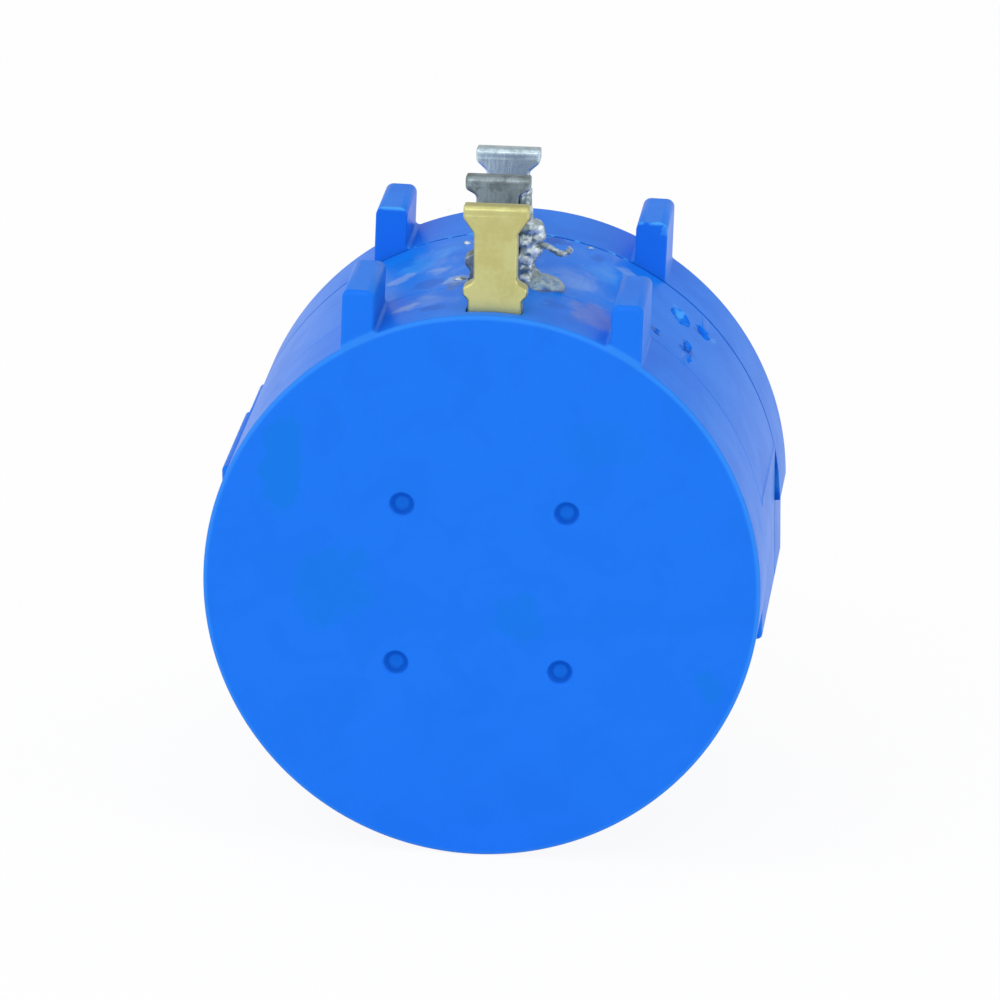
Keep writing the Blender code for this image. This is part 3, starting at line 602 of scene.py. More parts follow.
@dataclass(frozen=True)
class SolderSkin:
    """Solder that froze in lumps: bright and dark patches, pits and flux between them."""

    name: str = "old_solder"
    bright: Colour = from_screen(212, 224, 230)
    dark: Colour = from_screen(108, 126, 130)
    flux: Colour = from_screen(142, 156, 152)
    metallic: float = 0.6

    def material(self) -> bpy.types.Material:
        """Builds the material.

        Returns:
            The material.
        """
        made, sheet = new_material(self.name)
        place = sheet.place()
        cloud = sheet.noise(place, 2.6, 5.0, 1.0)
        fine = sheet.noise(place, 9.0, 4.0, 0.5)
        pits = sheet.cells(place, 4.5)
        colour = sheet.blend((cloud * 0.8 + fine * 0.2).step(0.38, 0.62), self.dark, self.bright)
        crust = sheet.noise(place, 1.7, 3.0).step(0.56, 0.66)
        colour = sheet.blend(crust * 0.55, colour, self.flux)
        sheet.surface({
            "Base Color": colour,
            "Metallic": (self.metallic - crust * 0.6).clamped(),
            "Roughness": (0.28 + cloud * 0.3 + crust * 0.2).clamped(),
            "Normal": sheet.bump(fine * 0.4 + pits * 0.3, 0.03 * MM),
        })
        return made


@dataclass(frozen=True)
class PalePlastic:
    """The undyed plastic of the spool and the carriage."""

    name: str = "pale_plastic"
    colour: Colour = from_screen(226, 220, 204)
    shade: Colour = from_screen(206, 197, 176)

    def material(self) -> bpy.types.Material:
        """Builds the material.

        Returns:
            The material.
        """
        made, sheet = new_material(self.name)
        place = sheet.place()
        cloud = sheet.noise(place, 0.5, 4.0)
        grain = sheet.noise(place, 10.0, 2.0)
        sheet.surface({
            "Base Color": sheet.blend(cloud.step(0.35, 0.7), self.colour, self.shade),
            "Roughness": (0.42 + (grain - 0.5) * 0.12).clamped(),
            "Normal": sheet.bump(grain, 0.006 * MM),
        })
        return made


@dataclass(frozen=True)
class WoundWire:
    """Fine wire wound closely around the element's core."""

    name: str = "resistance_winding"
    colour: Colour = from_screen(158, 126, 98)
    gap: Colour = from_screen(70, 52, 40)
    wires: float = 11.0
    element_radius: float = 8.7

    def material(self) -> bpy.types.Material:
        """Builds the material.

        Returns:
            The material.
        """
        made, sheet = new_material(self.name)
        x, _, z = sheet.split(sheet.place())
        angle = sheet.node("ShaderNodeMath", {"operation": "ARCTAN2"}, {0: x, 1: z})
        wires = (angle * (self.wires * self.element_radius)).sine() * 0.5 + 0.5
        sheet.surface({
            "Base Color": sheet.blend(wires.step(0.15, 0.5), self.gap, self.colour),
            "Metallic": 1.0,
            "Roughness": (0.5 - wires * 0.15).clamped(),
            "Normal": sheet.bump(wires, 0.03 * MM),
        })
        return made


class Pen:
    """Draws an outline across the shaft in a bmesh, edge by edge."""

    def __init__(self, start: Point, y: float) -> None:
        """Puts the pen down.

        Args:
            start: The first point's x and z.
            y: Where along the shaft the outline lies.
        """
        self.shape = bmesh.new()
        self.y = y
        made = bmesh.ops.create_vert(self.shape, co=(start[0], y, start[1]))
        self.tip = made["vert"][0]

    def line(self, x: float, z: float) -> None:
        """Draws a straight edge.

        Args:
            x: The end's x.
            z: The end's z.
        """
        made = bmesh.ops.extrude_vert_indiv(self.shape, verts=[self.tip])
        self.tip = made["verts"][0]
        self.tip.co = (x, self.y, z)

    def arc(self, centre: Point, angle: float, step: float = ARC_STEP) -> None:
        """Draws an arc.

        Args:
            centre: The arc's centre, x and z.
            angle: How far it turns, clockwise seen from the rear.
            step: The length of its edges.
        """
        radius = math.hypot(self.tip.co.x - centre[0], self.tip.co.z - centre[1])
        made = bmesh.ops.spin(
            self.shape, geom=[self.tip], cent=(centre[0], self.y, centre[1]), axis=(0, 1, 0),
            dvec=(0, 0, 0), angle=angle, use_merge=False, use_duplicate=False,
            steps=max(EDGE_STEPS, math.ceil(abs(angle) * radius / step)),
        )
        self.tip = next(v for v in made["geom_last"] if isinstance(v, bmesh.types.BMVert))

    def mirrored(self) -> None:
        """Adds the left half, so that the outline closes."""
        geometry = self.shape.verts[:] + self.shape.edges[:]
        bmesh.ops.mirror(self.shape, geom=geometry, matrix=Matrix(), merge_dist=WELD, axis="X")

    def plate(self, depth: float) -> bmesh.types.BMesh:
        """Fills the closed outline and gives it a depth to the rear."""
        bmesh.ops.edgeloop_fill(self.shape, edges=self.shape.edges[:])
        return extruded(self.shape, depth)


def extruded(shape: bmesh.types.BMesh, depth: float) -> bmesh.types.BMesh:
    """Gives a filled outline a depth to the rear.

    Args:
        shape: A bmesh with one face.
        depth: The depth along the shaft.

    Returns:
        The same bmesh, closed.
    """
    made = bmesh.ops.extrude_face_region(shape, geom=shape.faces[:])
    moved = [v for v in made["geom"] if isinstance(v, bmesh.types.BMVert)]
    bmesh.ops.translate(shape, verts=moved, vec=(0.0, -depth, 0.0))
    bmesh.ops.recalc_face_normals(shape, faces=shape.faces[:])
    return shape


def round_rim(shape: bmesh.types.BMesh, y: float, width: float, steps: int = EDGE_STEPS) -> None:
    """Rounds every edge that lies in one plane across the shaft.

    Args:
        shape: The bmesh.
        y: Where the plane lies.
        width: The rounding's width.
        steps: How many faces it has across.
    """
    rim = [e for e in shape.edges if all(abs(v.co.y - y) < WELD for v in e.verts)]
    bmesh.ops.bevel(
        shape, geom=rim, offset=width, offset_type="OFFSET", segments=steps, profile=0.5,
        affect="EDGES", material=-1, clamp_overlap=False,
    )


def chain(points: Sequence[Point], closed: bool) -> bmesh.types.BMesh:
    """Draws a profile, edge by edge.

    Args:
        points: Points of radius and y.
        closed: Whether the last one is joined to the first.

    Returns:
        The profile.
    """
    shape = bmesh.new()
    first = bmesh.ops.create_vert(shape, co=(*points[0], 0.0))["vert"][0]
    tip = first
    for point in points[1:]:
        tip = bmesh.ops.extrude_vert_indiv(shape, verts=[tip])["verts"][0]
        tip.co = (*point, 0.0)
    if closed:
        bmesh.ops.contextual_create(shape, geom=[tip, first])
    return shape


def lathe(profile: Sequence[Point], segments: int) -> bmesh.types.BMesh:
    """Turns a profile about the shaft's axis.

    Args:
        profile: Points of radius and y. It is closed unless it starts and ends on the axis.
        segments: How many steps a full turn has.

    Returns:
        The turned shape.
    """
    shape = chain(profile, profile[0][0] > 0.0)
    bmesh.ops.spin(
        shape, geom=shape.verts[:] + shape.edges[:], cent=(0, 0, 0), axis=(0, 1, 0),
        dvec=(0, 0, 0), angle=math.tau, steps=segments, use_merge=True, use_duplicate=False,
    )
    bmesh.ops.remove_doubles(shape, verts=shape.verts[:], dist=WELD)
    bmesh.ops.recalc_face_normals(shape, faces=shape.faces[:])
    return shape


def box(low: Place, high: Place, rounding: float = 0.0) -> bmesh.types.BMesh:
    """A block between two corners.

    Args:
        low: The lowest corner.
        high: The highest corner.
        rounding: The width of the rounding on its edges.

    Returns:
        The block.
    """
    shape = bmesh.new()
    centre = (Vector(low) + Vector(high)) / 2
    size = Vector(high) - Vector(low)
    bmesh.ops.create_cube(shape, size=1.0)
    bmesh.ops.scale(shape, verts=shape.verts[:], vec=size)
    bmesh.ops.translate(shape, verts=shape.verts[:], vec=centre)
    if rounding:
        bmesh.ops.bevel(
            shape, geom=shape.edges[:], offset=rounding, offset_type="OFFSET",
            segments=EDGE_STEPS, profile=0.5, affect="EDGES", material=-1, clamp_overlap=True,
        )
    return shape


def link(name: str, shape: bmesh.types.BMesh) -> bpy.types.Object:
    """Makes an object of a bmesh, at the origin.

    Args:
        name: The object's name.
        shape: The bmesh, which is freed.

    Returns:
        The object.
    """
    mesh = bpy.data.meshes.new(name)
    shape.to_mesh(mesh)
    shape.free()
    made = bpy.data.objects.new(name, mesh)
    bpy.context.scene.collection.objects.link(made)
    return made


def worked_out(piece: bpy.types.Object) -> bpy.types.Mesh:
    """The mesh of a curve, or of a piece with its modifiers."""
    graph = bpy.context.evaluated_depsgraph_get()
    return bpy.data.meshes.new_from_object(piece.evaluated_get(graph))


def settle(piece: bpy.types.Object) -> None:
    """Turns a piece's modifiers into its mesh.

    Args:
        piece: The piece.
    """
    mesh = worked_out(piece)
    piece.modifiers.clear()
    piece.data = mesh


def work(piece: bpy.types.Object, steps: Iterable[tuple[Joining, bmesh.types.BMesh]]) -> None:
    """Adds and cuts shapes, in order.

    Args:
        piece: The piece that changes.
        steps: Each tool, and what is done with it.
    """
    tools = []
    for joining, shape in steps:
        tool = link(f"{piece.name}_tool", shape)
        modifier = piece.modifiers.new(tool.name, "BOOLEAN")
        modifier.operation = joining.value
        modifier.object = tool
        modifier.solver = "MANIFOLD"
        tools.append(tool)
    settle(piece)
    for tool in tools:
        bpy.data.objects.remove(tool, do_unlink=True)


def shade(piece: bpy.types.Object, angle: float = SMOOTH_BELOW, weighted: bool = True) -> None:
    """Shades a piece smooth, with its sharp edges kept.

    Args:
        piece: The piece.
        angle: Edges that turn more than this stay sharp.
        weighted: Whether large faces keep their own direction.
    """
    piece.data.shade_smooth()
    piece.data.set_sharp_from_angle(angle=angle)
    if weighted:
        modifier = piece.modifiers.new("Even_shading", "WEIGHTED_NORMAL")
        modifier.keep_sharp = True


def dress(piece: bpy.types.Object, finish: bpy.types.Material) -> None:
    """Gives a piece one finish."""
    piece.data.materials.clear()
    piece.data.materials.append(finish)


@dataclass(frozen=True)
class Blob:
    """An uneven ball: its middle and its radius on each axis, in millimetres."""

    centre: Place
    radius: Place

    def add(self, shape: bmesh.types.BMesh, subdivisions: int) -> None:
        """Adds the ball to a bmesh.

        Args:
            shape: The bmesh.
            subdivisions: How often its faces are split.
        """
        made = bmesh.ops.create_icosphere(shape, subdivisions=subdivisions, radius=MM)
        bmesh.ops.scale(shape, verts=made["verts"], vec=self.radius)
        bmesh.ops.translate(shape, verts=made["verts"], vec=Vector(self.centre) * MM)


def ripple(shape: bmesh.types.BMesh, wave: float, height: float) -> None:
    """Moves a skin in and out with smooth noise.

    Args:
        shape: The bmesh.
        wave: The noise's wavelength.
        height: How far it moves the skin.
    """
    shape.normal_update()
    for vert in shape.verts:
        vert.co += vert.normal * noise.noise(vert.co / wave) * height


@dataclass
class MouldedHousing:
    """The blue lid, barrel and cap."""

    radius: float = 11.11 * MM
    lid_plate: float = 1.2 * MM
    cap_plate: float = 1.0 * MM
    skirt_wall: float = 1.15 * MM
    fit_gap: float = 0.05 * MM
    spigot_wall: float = 0.85 * MM
    spigot_reach: float = 2.0 * MM
    seam_gap: float = 0.10 * MM
    cap_seam_gap: float = 0.03 * MM
    rim_round: float = 0.22 * MM
    seam_round: float = 0.07 * MM
    ear_inner: float = 4.69 * MM
    ear_outer: float = 5.98 * MM
    ear_top: float = 11.83 * MM
    ear_corner: float = 0.33 * MM
    ear_root: float = 0.16 * MM
    ear_setback: float = 0.02 * MM
    flat_half: float = 2.95 * MM
    flat_corner: float = 0.2 * MM
    flat_tilt: float = math.radians(2.4)
    flat_face: float = 10.91 * MM
    lid_left_face: float = 10.80 * MM
    lid_right_top: float = 0.45 * MM
    bushing_hole: float = 4.8125 * MM
    nub_circle: float = 7.9 * MM
    nub_radius: float = 0.5 * MM
    nub_height: float = 1.02 * MM
    nub_segments: int = 32
    dimple_half: float = 3.29 * MM
    upper_dimple: float = 3.19 * MM
    lower_dimple: float = 3.33 * MM
    dimple_radius: float = 0.53 * MM
    dimple_floor: float = 0.30 * MM
    dimple_depth: float = 0.30 * MM
    dimple_lip: float = 0.05 * MM
    dimple_segments: int = 48
    foot_half: float = 1.125 * MM
    foot_depth: float = 0.475 * MM
    channel_half: float = 0.6 * MM
    bearing: float = 1.54 * MM
    bearing_wall: float = 1.4 * MM
    bearing_height: float = 0.65 * MM
    bearing_seat: float = 0.35 * MM
    stop_inner: float = 1.7 * MM
    stop_outer: float = 3.0 * MM
    stop_drop: float = 1.15 * MM
    stop_rise: float = 0.29 * MM
    stop_overlap: float = 0.75 * MM
    half_travel: float = 4.79 * MM
    gouges: tuple[Blob, ...] = (
        Blob((6.98, -7.80, 8.90), (0.56, 1.10, 0.46)),
        Blob((7.38, -11.20, 8.47), (0.26, 1.05, 0.30)),
        Blob((7.53, -12.45, 8.26), (0.15, 0.60, 0.17)),
        Blob((7.83, -7.10, 8.11), (0.38, 0.85, 0.46)),
        Blob((6.22, -12.55, 9.29), (0.17, 0.42, 0.15)),
    )
    gouge_wave: float = 0.28 * MM
    gouge_tearing: float = 0.17 * MM
    gouge_splits: int = 4
    segments: int = 256

    def outline(self, y: float, ears: bool) -> Pen:
        """Draws the housing's outline.

        Args:
            y: Where along the shaft it lies.
            ears: Whether it has the ears beside the lugs.

        Returns:
            The pen, with the outline closed.
        """
        pen = Pen((0.0, self.radius), y)
        at = self._ear(pen) if ears else 0.0
        pen.arc((0.0, 0.0), math.pi - at)
        pen.mirrored()
        return pen

    def _ear(self, pen: Pen) -> float:
        """Draws the arc up to an ear and the ear, with its roots and corners rounded.

        Args:
            pen: The pen, at the top of the outline.

        Returns:
            The angle from the top at which the ear ends.
        """
        root, corner = self.ear_root, self.ear_corner
        reach = self.radius + root
        inner_x, outer_x = self.ear_inner - root, self.ear_outer + root
        inner = (inner_x, math.sqrt(reach**2 - inner_x**2))
        outer = (outer_x, math.sqrt(reach**2 - outer_x**2))
        start, end = math.atan2(*inner), math.atan2(*outer)
        pen.arc((0.0, 0.0), start)
        pen.arc(inner, -(start + math.pi / 2), root / 2)
        pen.line(self.ear_inner, self.ear_top - corner)
        centre_z = self.ear_top - corner
        pen.arc((self.ear_inner + corner, centre_z), math.pi / 2, corner / 4)
        pen.line(self.ear_outer - corner, self.ear_top)
        pen.arc((self.ear_outer - corner, centre_z), math.pi / 2, corner / 4)
        pen.line(self.ear_outer, outer[1])
        pen.arc(outer, end - math.pi / 2, root / 2)
        return end

    def flat(
        self, side: Side, ends: Point, face: float, heights: Point
    ) -> list[tuple[Joining, bmesh.types.BMesh]]:
        """The steps that make a side flat: the skin is shaved and its corners filled.

        Args:
            side: The side that it lies on.
            ends: Its front and rear end along the shaft.
            face: How far out it lies.
            heights: Its lower and upper end.

        Returns:
            The steps.
        """
        low, high = heights
        front, rear = ends[0] - self.ear_setback, ends[1] + self.ear_setback
        outside = face + self.skirt_wall
        middle = face - self.skirt_wall / 2
        shave = box(
            (face - self.ear_setback / 2, ends[1] - self.skirt_wall, low),
            (outside, ends[0] + self.skirt_wall, high),
        )
        pad = box((middle, rear, low), (face, front, high), self.flat_corner)
        turn = Matrix.Rotation(-self.flat_tilt, 3, "Y")
        for shape in (shave, pad):
            bmesh.ops.rotate(shape, verts=shape.verts[:], cent=(face, 0.0, 0.0), matrix=turn)
            if side is Side.LEFT:
                half_turn = Matrix.Rotation(math.pi, 3, "Y")
                bmesh.ops.rotate(shape, verts=shape.verts[:], cent=(0, 0, 0), matrix=half_turn)
        return [(Joining.CUT, shave), (Joining.ADD, pad)]

    def round_block(self, radius: float, front: float, rear: float) -> bmesh.types.BMesh:
        """A plain cylinder on the shaft's axis, from its front to its rear end."""
        return lathe([(0.0, front), (radius, front), (radius, rear), (0.0, rear)], self.segments)

    def lid(self) -> bpy.types.Object:
        """Builds the front lid.

        Returns:
            The lid.
        """
        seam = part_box("barrel")[1].y - self.spigot_reach
        shape = self.outline(0.0, True).plate(-seam)
        round_rim(shape, seam, self.seam_round)
        round_rim(shape, 0.0, self.rim_round, RIM_STEPS)
        piece = link("lid_shell", shape)
        skirt = self.radius - self.skirt_wall
        half, ends = self.flat_half, (0.0, seam)
        work(piece, [
            *self.flat(Side.LEFT, ends, self.lid_left_face, (-half, half)),
            *self.flat(Side.RIGHT, ends, self.flat_face, (-half, self.lid_right_top)),
            (Joining.CUT, self.round_block(skirt, -self.lid_plate, seam - self.lid_plate)),
            (Joining.CUT, self.round_block(self.bushing_hole, self.lid_plate, seam)),
            (Joining.ADD, self.nub()),
            (Joining.ADD, self.stop(Side.RIGHT, -self.lid_plate / 2)),
        ])
        shade(piece)
        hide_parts("front_lid")
        return piece

    def nub(self) -> bmesh.types.BMesh:
        """The nub that keeps the body from turning in its panel.

        Returns:
            The nub.
        """
        shape = bmesh.new()
        root = self.lid_plate / 2
        centre = Vector((-self.nub_circle, (self.nub_height - root) / 2, 0.0))
        bmesh.ops.create_cone(
            shape, cap_ends=True, segments=self.nub_segments, radius1=self.nub_radius,
            radius2=self.nub_radius, depth=self.nub_height + root,
            matrix=Matrix.Translation(centre) @ Matrix.Rotation(-math.pi / 2, 4, "X"),
        )
        round_rim(shape, self.nub_height, self.nub_radius / 4)
        return shape

    def stop(self, side: Side, root: float) -> bmesh.types.BMesh:
        """The stop that ends the carriage's travel.

        Args:
            side: The side of the carriage's rods that it stands on.
            root: Where it starts, inside the plate that carries it.

        Returns:
            The stop.
        """
        low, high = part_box("wiper_carriage")
        reach = self.half_travel - self.stop_overlap
        tip = high.y + reach if root > high.y else low.y - reach
        ends = sorted((side.value * self.stop_inner, side.value * self.stop_outer))
        floor = high.z - self.stop_drop
        return box(
            (ends[0], min(root, tip), floor),
            (ends[1], max(root, tip), high.z + self.stop_rise),
            self.seam_round,
        )

    def barrel(self) -> bpy.types.Object:
        """Builds the barrel.

        Returns:
            The barrel.
        """
        low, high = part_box("barrel")
        front = high.y - self.spigot_reach - self.seam_gap
        rear = low.y + self.spigot_reach + self.cap_seam_gap
        shape = self.outline(front, False).plate(front - rear)
        round_rim(shape, front, self.seam_round)
        round_rim(shape, rear, self.cap_seam_gap)
        piece = link("barrel_shell", shape)
        spigot = self.radius - self.skirt_wall - self.fit_gap
        bore = spigot - self.spigot_wall
        heights = (-self.flat_half, self.flat_half)
        work(piece, [
            *self.flat(Side.LEFT, (front, rear), self.flat_face, heights),
            *self.flat(Side.RIGHT, (front, rear), self.flat_face, heights),
            (Joining.ADD, self.round_block(spigot, high.y, low.y)),
            (Joining.CUT, self.round_block(bore, high.y + self.radius, low.y - self.radius)),
            (Joining.CUT, self.channel(bore)),
            (Joining.CUT, self.lug_slot("terminal_middle")),
            (Joining.CUT, self.lug_slot("terminal_front")),
            *((Joining.CUT, self.gouge(blob)) for blob in self.gouges),
        ])
        shade(piece)
        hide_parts("barrel")
        return piece

    def gouge(self, blob: Blob) -> bmesh.types.BMesh:
        """The ragged cutter of one gouge in the barrel's skin.

        Args:
            blob: Its place and size.

        Returns:
            The cutter.
        """
        shape = bmesh.new()
        blob.add(shape, self.gouge_splits)
        ripple(shape, self.gouge_wave, self.gouge_tearing)
        return shape

    def channel(self, bore: float) -> bmesh.types.BMesh:
        """The cutter of the channel that the element's leads lie in.

        Args:
            bore: The barrel's bore.

        Returns:
            The cutter.
        """
        front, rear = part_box("element_lead_front")[1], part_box("element_lead_rear")[0]
        gap = 2 * self.fit_gap
        return box(
            (-self.channel_half, rear.y - gap, bore - self.spigot_wall),
            (self.channel_half, front.y + gap, front.z + gap),
        )

    def cap(self) -> bpy.types.Object:
        """Builds the rear cap.

        Returns:
            The cap.
        """
        low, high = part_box("rear_cap")
        front, rear = high.y, low.y
        inside = rear + self.cap_plate
        shape = self.outline(front, True).plate(front - rear)
        round_rim(shape, front, self.cap_seam_gap)
        round_rim(shape, rear, self.rim_round, RIM_STEPS)
        piece = link("cap_shell", shape)
        skirt = self.radius - self.skirt_wall
        boss = self.bearing + self.bearing_wall
        seat = inside - self.bearing_seat
        work(piece, [
            (Joining.CUT, self.round_block(skirt, front + self.cap_plate, inside)),
            (Joining.ADD, self.round_block(boss, inside + self.bearing_height, seat)),
            (Joining.CUT, self.round_block(self.bearing, front, seat)),
            (Joining.ADD, self.stop(Side.LEFT, rear + self.cap_plate / 2)),
            (Joining.CUT, self.lug_slot("terminal_wiper")),
            *((Joining.CUT, self.dimple(rear, across, up)) for up in (1, -1) for across in (1, -1)),
        ])
        shade(piece)
        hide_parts("rear_cap")
        return piece

    def lug_slot(self, node: str) -> bmesh.types.BMesh:
        """The slot that a lug's foot goes through.

        Args:
            node: The lug's node.

        Returns:
            The cutter.
        """
        low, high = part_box(node)
        middle = (low + high) / 2
        return box(
            (middle.x - self.foot_half, middle.y - self.foot_depth, low.z - self.fit_gap),
            (middle.x + self.foot_half, middle.y + self.foot_depth, high.z),
        )

    def dimple(self, face: float, across: int, up: int) -> bmesh.types.BMesh:
        """The cutter of one dimple: a bowl with a soft lip.

        Args:
            face: Where the rear face lies.
            across: -1 on the left, 1 on the right.
            up: -1 below, 1 above.

        Returns:
            The cutter.
        """
        radius, depth, lip = self.dimple_radius, self.dimple_depth, self.dimple_lip
        deepest, floor = face + depth, self.dimple_floor
        profile = [
            (0.0, deepest),
            (floor * 0.6, deepest - lip / 4),
            (floor, deepest - lip),
            (floor + lip, deepest - 2.5 * lip),
            (radius - lip, face + 1.5 * lip),
            (radius, face + lip / 2),
            (radius + lip, face),
            (radius + 1.5 * lip, face - lip),
            (0.0, face - lip),
        ]
        shape = lathe(profile, self.dimple_segments)
        height = self.upper_dimple if up > 0 else -self.lower_dimple
        centre = (across * self.dimple_half, 0.0, height)
        bmesh.ops.translate(shape, verts=shape.verts[:], vec=centre)
        return shape

    def build(self) -> list[bpy.types.Object]:
        """Builds and dresses the three pieces.

        Returns:
            The pieces.
        """
        finish = MouldedBlue().material()
        pieces = [self.lid(), self.barrel(), self.cap()]
        for piece in pieces:
            dress(piece, finish)
            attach(piece, "housing")
        return pieces


class LugFinish(Enum):
    """The two finishes of the solder lugs."""

    BRASS = "brass"
    TINNED = "tinned_brass"


@dataclass
class SolderLugs:
    """The three folded lugs."""

    thickness: float = 0.85 * MM
    head: float = 1.3 * MM
    head_height: float = 0.55 * MM
    brass_neck: float = 0.62 * MM
    middle_neck: float = 0.24 * MM
    front_neck: float = 0.40 * MM
    waist: float = 0.86 * MM
    shoulder: float = 1.28 * MM
    shoulder_low: float = 11.72 * MM
    shoulder_high: float = 12.08 * MM
    shoulder_taper: float = 0.25 * MM
    foot: float = 1.075 * MM
    foot_taper: float = 0.15 * MM
    corner: float = 0.12 * MM
    edge: float = 0.12 * MM
    fold_edge: float = 0.2 * MM
    fold_slices: int = 5
    fold_flatness: float = 0.8
    crease: float = 0.36 * MM
    crease_width: float = 0.09 * MM
    brass_crease: float = 0.024 * MM
    tinned_crease: float = 0.01 * MM
    lean: float = math.radians(1.2)

    def lug(self, node: str, neck: float, crease_depth: float) -> bpy.types.Object:
        """Builds one lug in its node's place, bent a little to the left.

        Args:
            node: The lug's node.
            neck: The height over which its head narrows.
            crease_depth: How deep the crease below its rolled edge is.

        Returns:
            The lug.
        """
        low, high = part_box(node)
        middle = (low + high) / 2
        front = middle.y + self.thickness / 2
        pen = Pen((0.0, high.z), front)
        head = high.z - self.head_height
        for x, z in (
            (self.head, high.z),
            (self.head, head),
            (self.waist, head - neck),
            (self.waist, self.shoulder_high + self.shoulder_taper),
            (self.shoulder, self.shoulder_high),
            (self.shoulder, self.shoulder_low),
            (self.foot, self.shoulder_low - self.foot_taper),
            (self.foot, low.z),
            (0.0, low.z),
        ):
            pen.line(x, z)
        pen.mirrored()
        shape = pen.shape
        bmesh.ops.edgeloop_fill(shape, edges=shape.edges[:])
        corners = [v for v in shape.verts if abs(v.co.x) > WELD and v.co.z > low.z + WELD]
        bmesh.ops.bevel(
            shape, geom=corners, offset=self.corner, offset_type="OFFSET",
            segments=RIM_STEPS, profile=0.5, affect="VERTICES", material=-1, clamp_overlap=True,
        )
        extruded(shape, self.thickness)
        for y in (front, front - self.thickness):
            round_rim(shape, y, self.edge)
        self._press(shape, high.z, middle.y, crease_depth)
        turn = Matrix.Rotation(-self.lean, 3, "Y")
        bmesh.ops.rotate(shape, verts=shape.verts[:], cent=(0.0, 0.0, middle.z), matrix=turn)
        place = (middle.x, 0.0, -self.head * math.sin(self.lean))
        bmesh.ops.translate(shape, verts=shape.verts[:], vec=place)
        piece = link(node.replace("terminal", "lug"), shape)
        shade(piece)
        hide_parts(node)
        return piece

    def _press(self, shape: bmesh.types.BMesh, top: float, middle: float, crease: float) -> None:
        """Rolls the top edge and presses the crease below it.

        Args:
            shape: The lug.
            top: The height of its top edge.
            middle: Where its thickness is halved.
            crease: How deep the crease is.
        """
        slices = self.fold_slices
        heights = [top - self.fold_edge * i / slices for i in range(1, slices)]
        groove = [top - self.crease + self.crease_width * i for i in (-1, 0, 1)]
        for z in (*heights, *groove):
            bmesh.ops.bisect_plane(
                shape, geom=shape.verts[:] + shape.edges[:] + shape.faces[:],
                plane_co=(0.0, 0.0, z), plane_no=(0.0, 0.0, 1.0),
            )
        for vert in shape.verts:
            offset = vert.co.y - middle
            above = vert.co.z - (top - self.fold_edge)
            if above > 0.0:
                share = min(above / self.fold_edge, 1.0)
                limit = self.thickness / 2 * math.sqrt(1.0 - share**2 * self.fold_flatness)
                vert.co.y = middle + max(-limit, min(limit, offset))
            elif abs(vert.co.z - groove[1]) < WELD:
                vert.co.y = middle + offset * (1.0 - crease / (self.thickness / 2))

    def build(self) -> list[bpy.types.Object]:
        """Builds and dresses the lugs.

        Returns:
            The lugs.
        """
        brass = Metal(
            "lug_brass", from_screen(201, 200, 140), from_screen(186, 180, 116), 0.42,
            Working.PRESSED, 0.6, 0.9,
        )
        bright = Metal(
            "lug_bright_tin", from_screen(198, 216, 224), from_screen(150, 170, 182), 0.36,
            Working.PRESSED, 0.7, 1.9, 0.02 * MM,
        )
        dull = Metal(
            "lug_dull_tin", from_screen(146, 160, 166), from_screen(100, 110, 108), 0.42,
            Working.PRESSED, 0.8, 1.9, 0.02 * MM,
        )
        pieces = []
        for node, neck, crease_depth, finish, slot in (
            ("terminal_wiper", self.brass_neck, self.brass_crease, brass, LugFinish.BRASS),
            ("terminal_middle", self.middle_neck, self.tinned_crease, dull, LugFinish.TINNED),
            ("terminal_front", self.front_neck, self.tinned_crease, bright, LugFinish.TINNED),
        ):
            piece = self.lug(node, neck, crease_depth)
            dress(piece, finish.material())
            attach(piece, "housing")
            pieces.append(piece)
        return pieces


